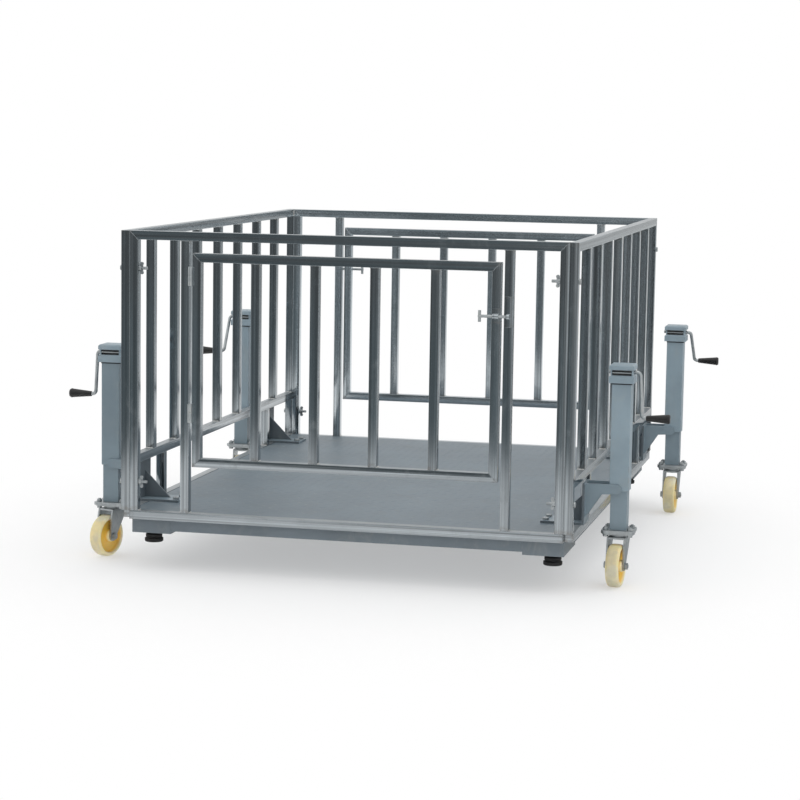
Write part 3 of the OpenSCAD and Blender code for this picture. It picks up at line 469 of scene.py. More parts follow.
def put(scene, name, mesh, body, slot, *kinds):
    """Link a finished mesh, in finishes of these kinds, as a piece that rides on a body."""
    if not mesh.materials:
        for kind in kinds:
            mesh.materials.append(finish(kind, scene))
    piece = bpy.data.objects.new(name, mesh)
    scene.collection.objects.link(piece)
    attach(piece, body)
    return piece


def merged(node):
    """A CAD node's mesh with its loose triangles joined."""
    bm = bmesh.new()
    bm.from_mesh(NODES[node].data)
    bmesh.ops.remove_doubles(bm, verts=bm.verts, dist=MERGE)
    return bm


def islands(bm):
    """Connected groups of vertices."""
    seen, groups = set(), []
    for start in bm.verts:
        if start in seen:
            continue
        group, queue = [], [start]
        seen.add(start)
        while queue:
            v = queue.pop()
            group.append(v)
            for e in v.link_edges:
                o = e.other_vert(v)
                if o not in seen:
                    seen.add(o)
                    queue.append(o)
        groups.append(group)
    return groups


def span(group):
    """Lowest and highest corner of a group of vertices."""
    low = Vector([min(v.co[k] for v in group) for k in range(3)])
    high = Vector([max(v.co[k] for v in group) for k in range(3)])
    return low, high


def longest(low, high):
    """The axis along which a box is longest."""
    return max(range(3), key=lambda k: high[k] - low[k])


def solids(node):
    """Lowest and highest corner of each solid of a CAD node."""
    bm = merged(node)
    boxes = [span(group) for group in islands(bm)]
    bm.free()
    return boxes


def lay_grain(bm):
    """UV maps of each solid: the grain along its longest side, the distance to its two ends, and
    the place across the face, from -1 to 1, beside a tone of its own."""
    grain, ends, over = (bm.loops.layers.uv.new(name) for name in ("grain", "ends", "face"))
    slip_along, slip_across, tone_step = 0.731, 0.377, 0.618
    for index, group in enumerate(islands(bm)):
        low, high = span(group)
        run = longest(low, high)
        sides = [k for k in range(3) if k != run]
        for face in {f for v in group for f in v.link_faces}:
            across = min(sides, key=lambda k: abs(face.normal[k]))
            width = high[across] - low[across]
            for loop in face.loops:
                co = loop.vert.co
                along = co[run] + slip_along * index
                loop[grain].uv = (along, co[across] + slip_across * index)
                loop[ends].uv = (co[run] - low[run], high[run] - co[run])
                place = (2 * co[across] - low[across] - high[across]) / width
                loop[over].uv = (place, tone_step * index % 1)


def soften(scene, node, width, kinds, long_only=0.0, steps=3, pick=None):
    """A copy of a CAD node that stands for it, its edges rounded where they are longer than
    long_only; pick gives a face the number of its finish."""
    bm = merged(node)
    bmesh.ops.dissolve_limit(
        bm, angle_limit=FLAT, verts=bm.verts, edges=bm.edges, use_dissolve_boundaries=False
    )
    edges = [
        e
        for e in bm.edges
        if len(e.link_faces) == 2
        and e.is_convex
        and e.calc_face_angle(0) > SHARP
        and e.calc_length() > long_only
    ]
    rounded = set()
    if width > 0 and edges:
        how = {"offset_type": "OFFSET", "affect": "EDGES", "clamp_overlap": True}
        made = bmesh.ops.bevel(bm, geom=edges, offset=width, segments=steps, profile=0.5, **how)
        rounded = set(made["faces"])
    bm.normal_update()
    mark = bm.loops.layers.float.new("edge")
    top = bm.loops.layers.float.new("top")
    for face in bm.faces:
        face.smooth = True
        for loop in face.loops:
            loop[mark] = float(face in rounded)
            loop[top] = float(face.normal.z > UPWARD)
    for e in bm.edges:
        pair = e.link_faces
        e.smooth = (
            len(pair) == 2
            and e.calc_face_angle(0) < CREASE
            and (pair[0] in rounded) == (pair[1] in rounded)
        )
    lay_grain(bm)
    if pick:
        for face in bm.faces:
            face.material_index = pick(face)
    mesh = bpy.data.meshes.new(node + "_finished")
    bm.to_mesh(mesh)
    bm.free()
    piece = put(scene, node + "_finished", mesh, BODY_OF[node], SLOT_OF[node], *kinds)
    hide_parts(node)
    return piece


def dress(scene, nodes, width=0.0, long_only=0.0, steps=3):
    """Rounded copies of several nodes, in the finishes of their slots, but the rear frame and gate in a lighter
    copy of the steel, painted light.
    """
    for node in nodes:
        # painted light: the rear end takes the lighter copy of the steel
        kind = "lit_rear_steel" if node in REAR_END else SLOT_OF[node]
        soften(scene, node, width, [kind], long_only, steps)


def lathe(bm, profile, place, around=56):
    """Revolve (radius, along) points round X; returns the faces made, ring by ring."""
    turns = [2 * math.pi * k / around for k in range(around)]
    rings = []
    for radius, along in profile:
        points = [Vector((along, radius * math.cos(a), radius * math.sin(a))) for a in turns]
        rings.append([bm.verts.new(place @ point) for point in points])
    bands = []
    for one, two in zip(rings, rings[1:] + rings[:1]):
        corners = zip(one, one[1:] + one[:1], two[1:] + two[:1], two)
        bands.append([bm.faces.new(four) for four in corners])
    return bands


def shaded(bm, name, degrees):
    """A mesh of the faces made, smooth up to an angle."""
    bmesh.ops.recalc_face_normals(bm, faces=bm.faces)
    for face in bm.faces:
        face.smooth = True
    for e in bm.edges:
        e.smooth = e.calc_face_angle(0) < math.radians(degrees)
    mesh = bpy.data.meshes.new(name)
    bm.to_mesh(mesh)
    bm.free()
    return mesh


# node trees


def grow(scene, name, tree, points, body, slot, kind, **sizes):
    """Run a node tree on points with turns and make the result a plain mesh piece."""
    mesh = bpy.data.meshes.new(name + "_points")
    mesh.from_pydata([p for p, _ in points], [], [])
    turn = mesh.attributes.new("turn", "FLOAT_VECTOR", "POINT")
    turn.data.foreach_set("vector", [x for _, t in points for x in t])
    maker = bpy.data.objects.new(name + "_points", mesh)
    scene.collection.objects.link(maker)
    modifier = maker.modifiers.new("grow", "NODES")
    modifier.node_group = tree
    inputs = {**sizes, "Finish": finish(kind, scene)}
    for item in tree.interface.items_tree:
        if item.in_out == "INPUT" and item.name in inputs:
            modifier[item.identifier] = inputs[item.name]
    graph = bpy.context.evaluated_depsgraph_get()
    made = bpy.data.meshes.new_from_object(maker.evaluated_get(graph))
    bpy.data.objects.remove(maker)
    if not len(made.polygons):
        raise RuntimeError(name + ": the node tree made no faces")
    made.name = name
    return put(scene, name, made, body, slot, kind)


class Tree:
    """A geometry node tree that puts one shape on every point, turned by the point's attribute."""

    def __init__(self, name, inputs):
        self.tree = bpy.data.node_groups.new(name, "GeometryNodeTree")
        face = self.tree.interface
        face.new_socket("Geometry", in_out="INPUT", socket_type="NodeSocketGeometry")
        for label, default in inputs.items():
            socket = face.new_socket(label, in_out="INPUT", socket_type="NodeSocketFloat")
            socket.default_value = default
        face.new_socket("Finish", in_out="INPUT", socket_type="NodeSocketMaterial")
        face.new_socket("Geometry", in_out="OUTPUT", socket_type="NodeSocketGeometry")
        self.given = self.tree.nodes.new("NodeGroupInput")

    def size(self, label):
        return self.given.outputs[label]

    def add(self, kind, settings=None, sockets=None):
        node = self.tree.nodes.new(kind)
        for key, value in (settings or {}).items():
            setattr(node, key, value)
        for key, value in (sockets or {}).items():
            if isinstance(value, bpy.types.NodeSocket):
                self.tree.links.new(value, node.inputs[key])
            else:
                node.inputs[key].default_value = value
        return node.outputs[0]

    def shape(self, kind, settings=None, **sockets):
        """A geometry node, with its named sockets."""
        sockets = {key.replace("_", " "): value for key, value in sockets.items()}
        return self.add("GeometryNode" + kind, settings, sockets)

    def maths(self, operation, first, second=0.0):
        return self.add("ShaderNodeMath", {"operation": operation}, {0: first, 1: second})

    def vector(self, x, y, z):
        return self.add("ShaderNodeCombineXYZ", None, {0: x, 1: y, 2: z})

    def circle(self, corners, radius):
        return self.shape("CurvePrimitiveCircle", Resolution=corners, Radius=radius)

    def cone(self, corners, top, bottom, depth):
        ends = {"Vertices": corners, "Radius_Top": top, "Radius_Bottom": bottom}
        return self.shape("MeshCone", {"fill_type": "NGON"}, Depth=depth, **ends)

    def close(self, shape, smooth):
        """Instance the shape, realize it and set its material."""
        turn = self.shape("InputNamedAttribute", {"data_type": "FLOAT_VECTOR"}, Name="turn")
        points = self.size("Geometry")
        placed = self.shape("InstanceOnPoints", Points=points, Instance=shape, Rotation=turn)
        solid = self.shape("RealizeInstances", Geometry=placed)
        solid = self.shape("SetShadeSmooth", Geometry=solid, Shade_Smooth=smooth)
        solid = self.shape("SetMaterial", Geometry=solid, Material=self.size("Finish"))
        done = self.tree.nodes.new("NodeGroupOutput")
        self.tree.links.new(solid, done.inputs[0])
        return self.tree


def tread_tree():
    """A long low mark with ten sloping sides."""
    t = Tree("tread_mark", {"Length": 27 * MM, "Width": 7 * MM, "Height": 0.5 * MM})
    mark = t.cone(10, 0.34, 0.5, t.size("Height"))
    scale = t.vector(t.size("Length"), t.size("Width"), 1.0)
    return t.close(t.shape("Transform", Geometry=mark, Scale=scale), False)


def bead_tree():
    """A rippled weld bead along X."""
    t = Tree("weld_bead", {"Length": 24 * MM, "Radius": 2.8 * MM, "Ripple": 0.3})
    half = t.maths("MULTIPLY", t.size("Length"), 0.5)
    start = t.vector(t.maths("MULTIPLY", half, -1.0), 0.0, 0.0)
    line = t.shape("CurvePrimitiveLine", Start=start, End=t.vector(half, 0.0, 0.0))
    line = t.shape("ResampleCurve", Curve=line, Count=9)
    wave = t.maths("PINGPONG", t.shape("InputIndex"), 1.0)
    thick = t.maths("SUBTRACT", 1.0, t.maths("MULTIPLY", wave, t.size("Ripple")))
    line = t.shape("SetCurveRadius", Curve=line, Radius=thick)
    ring = t.circle(6, t.size("Radius"))
    bead = t.shape("CurveToMesh", Curve=line, Profile_Curve=ring, Fill_Caps=True, Scale=thick)
    return t.close(bead, True)


def ring_tree():
    """One turn of a thread as a sharp ring round Z."""
    t = Tree("thread_ring", {"Radius": 5 * MM, "Depth": 0.6 * MM})
    loop, tooth = t.circle(18, t.size("Radius")), t.circle(4, t.size("Depth"))
    return t.close(t.shape("CurveToMesh", Curve=loop, Profile_Curve=tooth), False)


def screw_tree():
    """A low domed screw head along Z."""
    t = Tree("lid_screw", {"Radius": 4 * MM, "Height": 2.4 * MM})
    crown = t.maths("MULTIPLY", t.size("Radius"), 0.62)
    return t.close(t.cone(14, crown, t.size("Radius"), t.size("Height")), False)


# operators


class CRATE_OT_fence(bpy.types.Operator):
    """Fence tubes with rounded corners and a brushed finish"""

    bl_idname = "crate.fence"
    bl_label = "Fence"

    def execute(self, context):
        scene = context.scene
        dress(scene, FENCE, scene.crate_sizes.tube_round, long_only=20 * MM)
        return {"FINISHED"}


class CRATE_OT_gates(bpy.types.Operator):
    """Front and rear gates in the same tube"""

    bl_idname = "crate.gates"
    bl_label = "Gates"

    def execute(self, context):
        scene = context.scene
        gates = FRONT_GATE + REAR_GATE
        dress(scene, gates, scene.crate_sizes.tube_round, long_only=20 * MM)
        return {"FINISHED"}


class CRATE_OT_hardware(bpy.types.Operator):
    """Corner bolts, wing nuts, hinges, slide bolts, guides and keepers"""

    bl_idname = "crate.hardware"
    bl_label = "Hardware"

    def execute(self, context):
        scene = context.scene
        dress(scene, HARDWARE, scene.crate_sizes.small_round, steps=2)
        return {"FINISHED"}


class CRATE_OT_platform(bpy.types.Operator):
    """Deck plate, frame, housings, load cells, feet and junction box"""

    bl_idname = "crate.platform"
    bl_label = "Platform"

    def execute(self, context):
        scene, sizes = context.scene, context.scene.crate_sizes
        boxes = ["load_cells", "junction_box", "junction_lid"]
        dress(scene, ["deck_plate"])
        dress(scene, ["platform_frame", "foot_housings"], sizes.plate_round, long_only=30 * MM)
        dress(scene, boxes, sizes.plate_round, long_only=8 * MM)
        dress(scene, ["load_cell_bolts", "foot_studs"], sizes.small_round, steps=2)
        dress(scene, ["rubber_feet"])
        self.lid_screws(scene)
        return {"FINISHED"}

    def lid_screws(self, scene):
        """A screw in each corner of the junction box's lid, which faces down."""
        low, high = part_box("junction_lid")
        inset, proud = 9 * MM, 0.5 * MM
        points = [
            ((x, y, low.z - proud), (math.pi, 0.0, 0.0))
            for x in (low.x + inset, high.x - inset)
            for y in (low.y + inset, high.y - inset)
        ]
        grow(scene, "lid_screws", screw_tree(), points, "crate", "zinc", "zinc", Radius=4 * MM)


class CRATE_OT_jacks(bpy.types.Operator):
    """Jack tubes, heads, caps, brackets, bearings, screws and legs"""

    bl_idname = "crate.jacks"
    bl_label = "Jacks"

    def execute(self, context):
        scene, sizes = context.scene, context.scene.crate_sizes
        paints = ["blue_grey_paint", "shaded_jack_paint"]
        # painted shade: the front left tube takes the darker copy of the jack paint
        soften(scene, "jack_tubes", sizes.jack_round, paints, 20 * MM, 4, self.darker)
        dress(scene, ["jack_caps"], sizes.plate_round, long_only=6 * MM)
        self.heads(scene, sizes)
        self.collar_shadows(scene)
        self.brackets(scene, sizes)
        dress(scene, ["bracket_bolts", "screw_bearings"], sizes.small_round, steps=2)
        for k in JACKS:
            self.leg(scene, sizes, "leg_" + k)
        dress(scene, ["screw_" + k for k in JACKS])
        return {"FINISHED"}

    def darker(self, face):
        """The front left tube, painted darker with the shaded copy of the jack paint, as shade."""
        at = face.calc_center_median()
        return int(at.x < 0 and at.y < 0)

    def heads(self, scene, sizes):
        """Gear heads, their slots painted near-black as shade, with a pin across each opening."""
        middles = [(low + high) / 2 for low, high in solids("jack_heads")]
        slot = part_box("jack_heads")[0].z + 27 * MM
        half_wide, half_deep = 31 * MM, 40 * MM

        def pick(face):
            at = face.calc_center_median()
            off = min((at - middle for middle in middles), key=lambda d: d.length)
            return int(at.z > slot and abs(off.x) < half_wide and abs(off.y) < half_deep)

        # faces in the slot take the near-black painted shade
        kinds = ["blue_grey_paint", "slot_shade"]
        soften(scene, "jack_heads", sizes.plate_round, kinds, long_only=6 * MM, pick=pick)

        end = [(2.6 * MM, 32.3 * MM), (2.2 * MM, 32.8 * MM), (0.4 * MM, 32.8 * MM)]
        pin = [(radius, -along) for radius, along in reversed(end)] + end
        forward, raised = 32.8 * MM, 8 * MM
        bm = bmesh.new()
        for middle in middles:
            for y in (middle.y - forward, middle.y + forward):
                lathe(bm, pin, Matrix.Translation((middle.x, y, slot + raised)), 20)
        put(scene, "head_pins", shaded(bm, "head_pins", 30), "crate", "zinc", "zinc")

    def collar_shadows(self, scene):
        """A near-black square ring round the top of each tube, under the head's collar: a painted shadow."""
        upright = Matrix.Rotation(-math.pi / 2, 4, "Y") @ Matrix.Rotation(math.pi / 4, 4, "X")
        inner, outer, bottom, top = 0.1 * MM, 1.5 * MM, -4.5 * MM, -0.2 * MM
        bm = bmesh.new()
        for low, high in solids("jack_tubes"):
            corner = (high.x - low.x) / math.sqrt(2)
            ring = [(inner, bottom), (outer, bottom), (outer, top), (inner, top)]
            place = Matrix.Translation(((low.x + high.x) / 2, (low.y + high.y) / 2, high.z))
            lathe(bm, [(corner + r, along) for r, along in ring], place @ upright, 4)
        mesh = shaded(bm, "shadow_rings", 30)
        # near-black rings in the rubber finish: painted shadow under the collars
        put(scene, "shadow_rings", mesh, "crate", "foot_rubber", "foot_rubber")

    def brackets(self, scene, sizes):
        """Brackets whose gussets and upright plates inside the fence are painted darker than the arms, as shade.
        """
        inside = 7.5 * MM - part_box("left_side_frame")[0].x
        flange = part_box("jack_brackets")[0].z + 12 * MM

        def pick(face):
            at = face.calc_center_median()
            return int(abs(at.x) < inside and at.z > flange)

        # painted shade: the arms in the darker jack paint, the inner gussets and plates darker still
        paints = ["shaded_jack_paint", "gusset_shade_paint"]
        soften(scene, "jack_brackets", sizes.plate_round, paints, 8 * MM, 2, pick)

    def leg(self, scene, sizes, node):
        """A painted leg tube on plated plates with their bolts."""
        low, high = max(solids(node), key=lambda box: box[1].z - box[0].z)
        middle = (low + high) / 2
        tube = (high.x - low.x) / 4 + 2 * MM
        plate = low.z + 10.6 * MM

        def pick(face):
            at = face.calc_center_median()
            return int(at.z < plate or max(abs(at.x - middle.x), abs(at.y - middle.y)) > tube)

        # the leg tube takes the darker copy of the jack paint as painted shade
        soften(scene, node, sizes.plate_round, ["shaded_jack_paint", "zinc"], 9 * MM, 2, pick)


class CRATE_OT_cranks(bpy.types.Operator):
    """Crank rods and their grips"""

    bl_idname = "crate.cranks"
    bl_label = "Cranks"

    def execute(self, context):
        dress(context.scene, [part + k for part in ("crank_", "grip_") for k in JACKS])
        return {"FINISHED"}


class CRATE_OT_casters(bpy.types.Operator):
    """Caster forks and cast nylon wheels with a recessed web"""

    bl_idname = "crate.casters"
    bl_label = "Casters"

    def execute(self, context):
        scene = context.scene
        forks = ["fork_" + k for k in JACKS]
        dress(scene, forks, scene.crate_sizes.fork_round, long_only=6 * MM, steps=2)
        for k in JACKS:
            self.wheel(scene, k)
        return {"FINISHED"}

    def wheel(self, scene, k):
        """A wheel turned on its axle, which stands for the plain one."""
        joint = JOINTS["wheel_roll_" + k]
        axis = Vector(joint["axis"]).normalized()
        turn = axis.to_track_quat("X", "Z").to_matrix().to_4x4()
        low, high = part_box("wheel_" + k)
        r = (high.z - low.z) / 2 / MM
        w, bore, hub, rim, web = 23, 6.1, 20, r - 14, 9
        # radius and place along the axle in millimetres, then how much is web and tread
        half = [
            (bore, w + 1.5, 0, 0),
            (hub - 3, w + 1.5, 0, 0),
            (hub - 1, w + 0.9, 0, 0),
            (hub, w - 0.4, 0, 0),
            (hub + 0.8, web + 3, 1, 0),
            (hub + 3, web, 1, 0),
            (hub + 11, web - 0.6, 1, 0),
            (rim - 13, web - 0.6, 1, 0),
            (rim - 5, web + 0.4, 1, 0),
            (rim - 2.2, web + 4, 1, 0),
            (rim - 0.4, w - 3, 0.35, 0),
            (rim + 1.4, w - 1.1, 0, 0),
            (r - 10.5, w - 0.1, 0, 0),
            (r - 8, w - 0.5, 0, 0.1),
            (r - 5.2, w - 2, 0, 0.3),
            (r - 2.9, w - 4.4, 0, 0.6),
            (r - 1.3, w - 7.6, 0, 0.9),
            (r - 0.4, w - 11.5, 0, 1),
            (r, w - 16, 0, 1),
            (r, 0.7, 0, 1),
        ]
        line = half + [(radius, -along, *marks) for radius, along, *marks in reversed(half)]
        bm = bmesh.new()
        place = Matrix.Translation(Vector(joint["pos_m"])) @ turn
        bands = lathe(bm, [(radius * MM, along * MM) for radius, along, *_ in line], place)
        in_web = bm.loops.layers.float.new("web")
        on_tread = bm.loops.layers.float.new("tread")
        for band, one, two in zip(bands, line, line[1:] + line[:1]):
            for face in band:
                for loop, end in zip(face.loops, (one, one, two, two)):
                    loop[in_web], loop[on_tread] = end[2:]
        name, nylon = "wheel_cast_" + k, "wheel_nylon"
        piece = put(scene, name, shaded(bm, name, 40), "wheel_" + k, nylon, nylon)
        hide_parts("wheel_" + k)


class CRATE_OT_tread(bpy.types.Operator):
    """Raised marks of the checker plate, left out under the jack brackets"""

    bl_idname = "crate.tread"
    bl_label = "Deck tread"

    def execute(self, context):
        scene, sizes = context.scene, context.scene.crate_sizes
        low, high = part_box("deck_plate")
        clear, margin, sunk = 12 * MM, 30 * MM, 0.02 * MM
        grown = Vector((clear, clear, 0))
        pads = [(a - grown, b + grown) for a, b in solids("jack_brackets")]
        pitch, points = sizes.tread_pitch, []
        across = int((high.x - low.x - margin) / pitch)
        along = int((high.y - low.y - margin) / pitch)
        for i in range(across + 1):
            for j in range(along + 1):
                x = (i - across / 2) * pitch
                y = (j - along / 2) * pitch
                turn = math.radians(45 if (i + j) % 2 else -45)
                if not any(a.x < x < b.x and a.y < y < b.y for a, b in pads):
                    points.append(((x, y, high.z - sunk), (0.0, 0.0, turn)))
        mark = {"Length": sizes.tread_long, "Width": sizes.tread_wide, "Height": sizes.tread_high}
        name, slot, kind = "deck_tread", "deck_paint", "worn_tread"
        grow(scene, name, tread_tree(), points, "crate", slot, kind, **mark)
        return {"FINISHED"}


class CRATE_OT_threads(bpy.types.Operator):
    """Thread on the ends of the corner bolts"""

    bl_idname = "crate.threads"
    bl_label = "Threads"

    def execute(self, context):
        scene, pitch = context.scene, context.scene.crate_sizes.thread_pitch
        core, depth, lead = 4.75 * MM, 0.6 * MM, 1 * MM
        nuts, points = solids("corner_nuts"), []
        for low, high in solids("corner_bolts"):
            middle = (low + high) / 2
            side = 1 if middle.x > 0 else -1
            tip = low.x if side > 0 else -high.x
            nut = min(nuts, key=lambda box: ((box[0] + box[1]) / 2 - middle).length)
            start = nut[0].x if side > 0 else -nut[1].x
            for k in range(int((start - tip - lead) / pitch)):
                x = side * (tip + lead + k * pitch)
                points.append(((x, middle.y, middle.z), (0.0, math.pi / 2, 0.0)))
        ring = {"Radius": core, "Depth": depth}
        grow(scene, "bolt_threads", ring_tree(), points, "crate", "zinc", "zinc", **ring)
        return {"FINISHED"}


class CRATE_OT_welds(bpy.types.Operator):
    """Weld beads in the corners where fence and gate tubes meet"""

    bl_idname = "crate.welds"
    bl_label = "Welds"

    def execute(self, context):
        scene, sizes = context.scene, context.scene.crate_sizes
        bead = {"Length": sizes.bead_long, "Radius": sizes.bead}
        slot, kind = "satin_steel", "weld_metal"
        groups = {"crate": FENCE, "front_gate": FRONT_GATE, "rear_gate": REAR_GATE}
        for body, nodes in groups.items():
            boxes = [box for node in nodes for box in solids(node)]
            pairs = [(one, two) for one in boxes for two in boxes if one is not two]
            points = [point for one, two in pairs for point in self.joint(one, two)]
            grow(scene, body + "_welds", bead_tree(), points, body, slot, kind, **bead)
        return {"FINISHED"}

    def joint(self, one, two):
        """Beads beside the end of one tube on the face of another."""
        in_line, touching, inset = 2 * MM, 0.5 * MM, 3 * MM
        run, other = longest(*one), longest(*two)
        if run == other:
            return
        third = 3 - run - other
        middle = (one[0] + one[1]) / 2
        if abs(middle[third] - (two[0][third] + two[1][third]) / 2) > in_line:
            return
        way = Vector([k == third for k in range(3)])
        turn = Vector((1, 0, 0)).rotation_difference(way).to_euler()
        for end, face in ((one[0][run], two[1][run]), (one[1][run], two[0][run])):
            if abs(end - face) > touching:
                continue
            for side in (one[0][other], one[1][other]):
                if two[0][other] + inset < side < two[1][other] - inset:
                    place = middle.copy()
                    place[run], place[other] = (end + face) / 2, side
                    yield tuple(place), tuple(turn)


class CRATE_OT_stage(bpy.types.Operator):
    """Floor, room light, lamps and camera"""

    bl_idname = "crate.stage"
    bl_label = "Stage"

    def execute(self, context):
        scene, stage = context.scene, context.scene.crate_stage
        self.floor(scene)
        self.floor_film(scene, stage)
        self.room(scene, stage)
        self.room_film(scene, stage)
        self.lamps(scene, stage)
        self.camera(scene, stage)
        scene.view_settings.view_transform = "Standard"
        return {"FINISHED"}

    def still(self, scene, name, mesh, material):
        """A still object of the stage."""
        mesh.materials.append(material)
        thing = bpy.data.objects.new(name, mesh)
        scene.collection.objects.link(thing)
        return thing

    def film(self, scene, name, mesh, f, tint):
        """A dark film before the white room, for the steel to mirror; the camera looks past it."""
        film = self.still(scene, name, mesh, f.close(f.add("BsdfTransparent", None, {0: tint})))
        film.visible_camera = False
        return film

    def smoke(self, stage):
        """Tint of the dark films."""
        return dim((0.84, 1.0, 1.07), stage.dark)

    def sector(self, left, right):
        """Share of the dark side between its left and right slants from straight ahead."""
        return left.rise(-1.0, -0.75) * (1 - right.rise(-0.2, 0.1))

    def ground(self, name, height):
        """A large level sheet."""
        mesh = bpy.data.meshes.new(name)
        corners = [(-40, -40, height), (40, -40, height), (40, 60, height), (-40, 60, height)]
        mesh.from_pydata(corners, [], [range(4)])
        return mesh

    def floor(self, scene):
        """A pale floor that takes the shadow near the crate and is plain white farther out."""
        f, at = begin("studio_floor")
        cloud = f.noise(at, 0.6, 3.0)
        shade = f.blend(cloud, (0.9, 0.9, 0.9), (0.92, 0.92, 0.92))
        rough = 0.7 + cloud * 0.1
        lit = f.add("BsdfPrincipled", None, {"Base Color": shade, "Roughness": rough})
        white = f.add("Emission", None, {"Color": WHITE, "Strength": 1.0})
        oval = f.stretch(at, (1, 0.8, 1))
        far = f.add("VectorMath", {"operation": "LENGTH"}, {0: oval}, "Value").rise(1.0, 2.0)
        mixed = f.add("MixShader", None, {0: far * 0.6 + 0.4, 1: lit, 2: white})
        self.still(scene, "studio_floor", self.ground("studio_floor", 0), f.close(mixed))

    def floor_film(self, scene, stage):
        """Dark films on the floor: in front, a wedge at the right, a strip beside the crate."""
        f, at = begin("floor_film")
        x, y, _ = f.parts(at)
        near = 0 - y + x * 0.35 + (-1.3 - x).most(0.0) * 2.6
        front = self.sector(x / (0 - y).most(0.5), (x - 0.75) / (-1 - y).most(0.5))
        front = front * near.rise(2.85, 4.6)
        slant = (x - 1.2) / (y + 1).most(0.5)
        wedge = slant.rise(0.03, 0.1) * (1 - slant.rise(0.35, 0.7)) * y.rise(1.0, 3.0)
        strip = x.rise(0.8, 0.95) * (1 - x.rise(1.4, 2.2))
        strip = strip * y.rise(-1.2, -0.6) * (1 - y.rise(3.0, 6.0))
        from_above = 1 - f.add("NewGeometry", out="Backfacing")
        dark = front.most(wedge * 0.6).most(strip * 0.65) * from_above
        grey = dim((0.82, 0.84, 0.85), stage.dark)
        deep = f.blend((0 - y).rise(8.0, 16.0), self.smoke(stage), grey)
        mesh = self.ground("floor_film", 0.5 * MM)
        film = self.film(scene, "floor_film", mesh, f, f.blend(dark, WHITE, deep))
        film.visible_shadow = False

    def room(self, scene, stage):
        """A white room."""
        scene.world = bpy.data.worlds.new("studio_room")
        f = Finish(scene.world)
        light = f.add("Background", None, {"Color": (stage.sky,) * 3, "Strength": 1.0})
        f.add("OutputWorld", None, {"Surface": light})

    def room_film(self, scene, stage):
        """Dark films before the walls, behind the camera and at the right."""
        reach = 80
        bm = bmesh.new()
        bmesh.ops.create_uvsphere(bm, u_segments=64, v_segments=32, radius=reach)
        mesh = shaded(bm, "room_film", 30)
        f, at = begin("room_film")
        x, y, z = (part / reach for part in f.parts(at))
        slant = x / (0 - y).most(0.05)
        behind = (0 - y).rise(0.1, 0.3) * self.sector(slant, slant) * (1 - z.rise(0.08, 0.4))
        right = x.rise(0.02, 0.4) * (1 - z.rise(0.2, 0.8)) * 0.45
        tint = f.blend(right, WHITE, dim(self.smoke(stage), 2.0))
        self.film(scene, "room_film", mesh, f, f.blend(behind, tint, self.smoke(stage)))

    def lamps(self, scene, stage):
        """A wide lamp overhead and a weaker one in front, which the steel does not mirror."""
        for name, watts, wide, high, eye, aim in (
            ("overhead_lamp", stage.lamp, 6.0, 5.0, (1.5, -0.5, 6.0), (1.5, -0.5, 0.0)),
            ("front_lamp", stage.fill, 3.0, 2.0, (3.0, -5.5, 1.3), (0.0, 0.0, 0.4)),
        ):
            data = bpy.data.lights.new(name, "AREA")
            data.shape = "RECTANGLE"
            data.size, data.size_y, data.energy = wide, high, watts
            lamp = bpy.data.objects.new(name, data)
            turn = (Vector(aim) - Vector(eye)).to_track_quat("-Z", "Y").to_matrix().to_4x4()
            lamp.matrix_world = Matrix.Translation(eye) @ turn
            lamp.visible_glossy = name == "overhead_lamp"
            scene.collection.objects.link(lamp)

    def camera(self, scene, stage):
        """The camera at the place and angle of the photograph."""
        level_x, level_y = math.sin(stage.yaw), math.cos(stage.yaw)
        flat, down = math.cos(stage.pitch), math.sin(stage.pitch)
        ahead = Vector((level_x * flat, level_y * flat, -down))
        right = Vector((level_y, -level_x, 0))
        below = ahead.cross(right)
        c, s = math.cos(stage.roll), math.sin(stage.roll)
        right, below = c * right + s * below, c * below - s * right
        data = bpy.data.cameras.new("photo_camera")
        data.sensor_width = SENSOR
        data.lens = stage.lens
        data.shift_x, data.shift_y = stage.shift
        data.clip_end = 200
        camera = bpy.data.objects.new("photo_camera", data)
        turn = Matrix((right, -below, -ahead)).transposed().to_4x4()
        camera.matrix_world = Matrix.Translation(stage.eye) @ turn
        scene.collection.objects.link(camera)
        scene.camera = camera


OPERATORS = (
    CRATE_OT_fence,
    CRATE_OT_gates,
    CRATE_OT_hardware,
    CRATE_OT_platform,
    CRATE_OT_jacks,
    CRATE_OT_cranks,
    CRATE_OT_casters,
    CRATE_OT_tread,
    CRATE_OT_threads,
    CRATE_OT_welds,
    CRATE_OT_stage,
)


class CRATE_PT_sidebar(bpy.types.Panel):
    """Settings and steps of the crate"""

    bl_idname = "CRATE_PT_sidebar"
    bl_label = "Weighing Crate"
    bl_space_type = "VIEW_3D"
    bl_region_type = "UI"
    bl_category = "Crate"

    def draw(self, context):
        scene = context.scene
        for group in (scene.crate_sizes, scene.crate_colours, scene.crate_stage):
            box = self.layout.box()
            for key in group.__annotations__:
                box.prop(group, key)
        for operator in OPERATORS:
            self.layout.operator(operator.bl_idname)


CLASSES = (CrateSizes, CrateColours, CrateStage, *OPERATORS, CRATE_PT_sidebar)


def register():
    for cls in CLASSES:
        bpy.utils.register_class(cls)
    bpy.types.Scene.crate_sizes = bpy.props.PointerProperty(type=CrateSizes)
    bpy.types.Scene.crate_colours = bpy.props.PointerProperty(type=CrateColours)
    bpy.types.Scene.crate_stage = bpy.props.PointerProperty(type=CrateStage)


def unregister():
    del bpy.types.Scene.crate_stage
    del bpy.types.Scene.crate_colours
    del bpy.types.Scene.crate_sizes
    for cls in reversed(CLASSES):
        bpy.utils.unregister_class(cls)


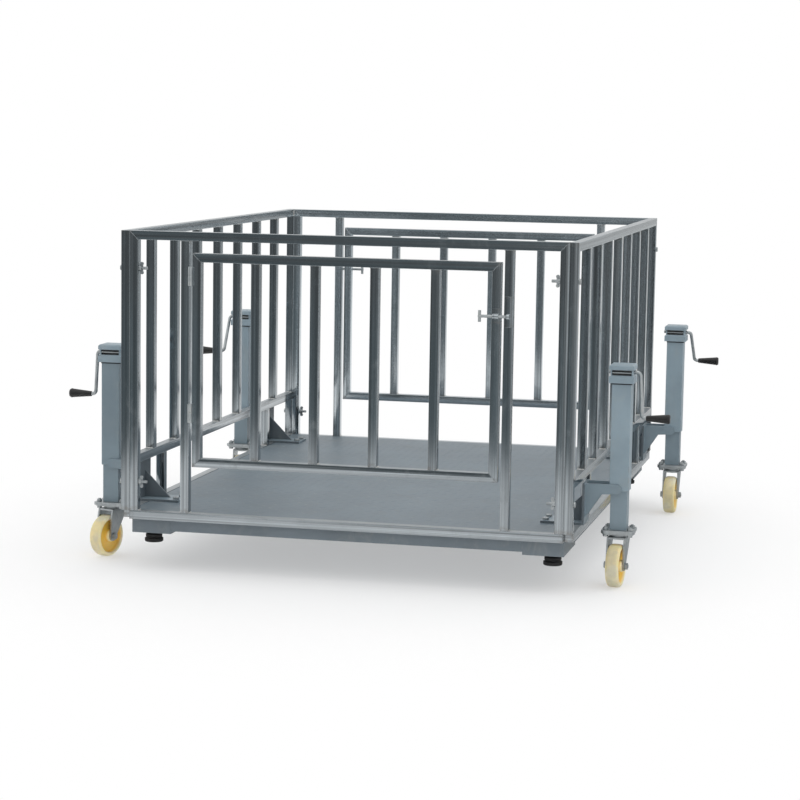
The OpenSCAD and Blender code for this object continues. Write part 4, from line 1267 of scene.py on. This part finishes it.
def main():
    register()
    bpy.ops.crate.fence()
    bpy.ops.crate.gates()
    bpy.ops.crate.hardware()
    bpy.ops.crate.platform()
    bpy.ops.crate.jacks()
    bpy.ops.crate.cranks()
    bpy.ops.crate.casters()
    bpy.ops.crate.tread()
    bpy.ops.crate.threads()
    bpy.ops.crate.welds()
    bpy.ops.crate.stage()


if __name__ == "__main__":
    main()
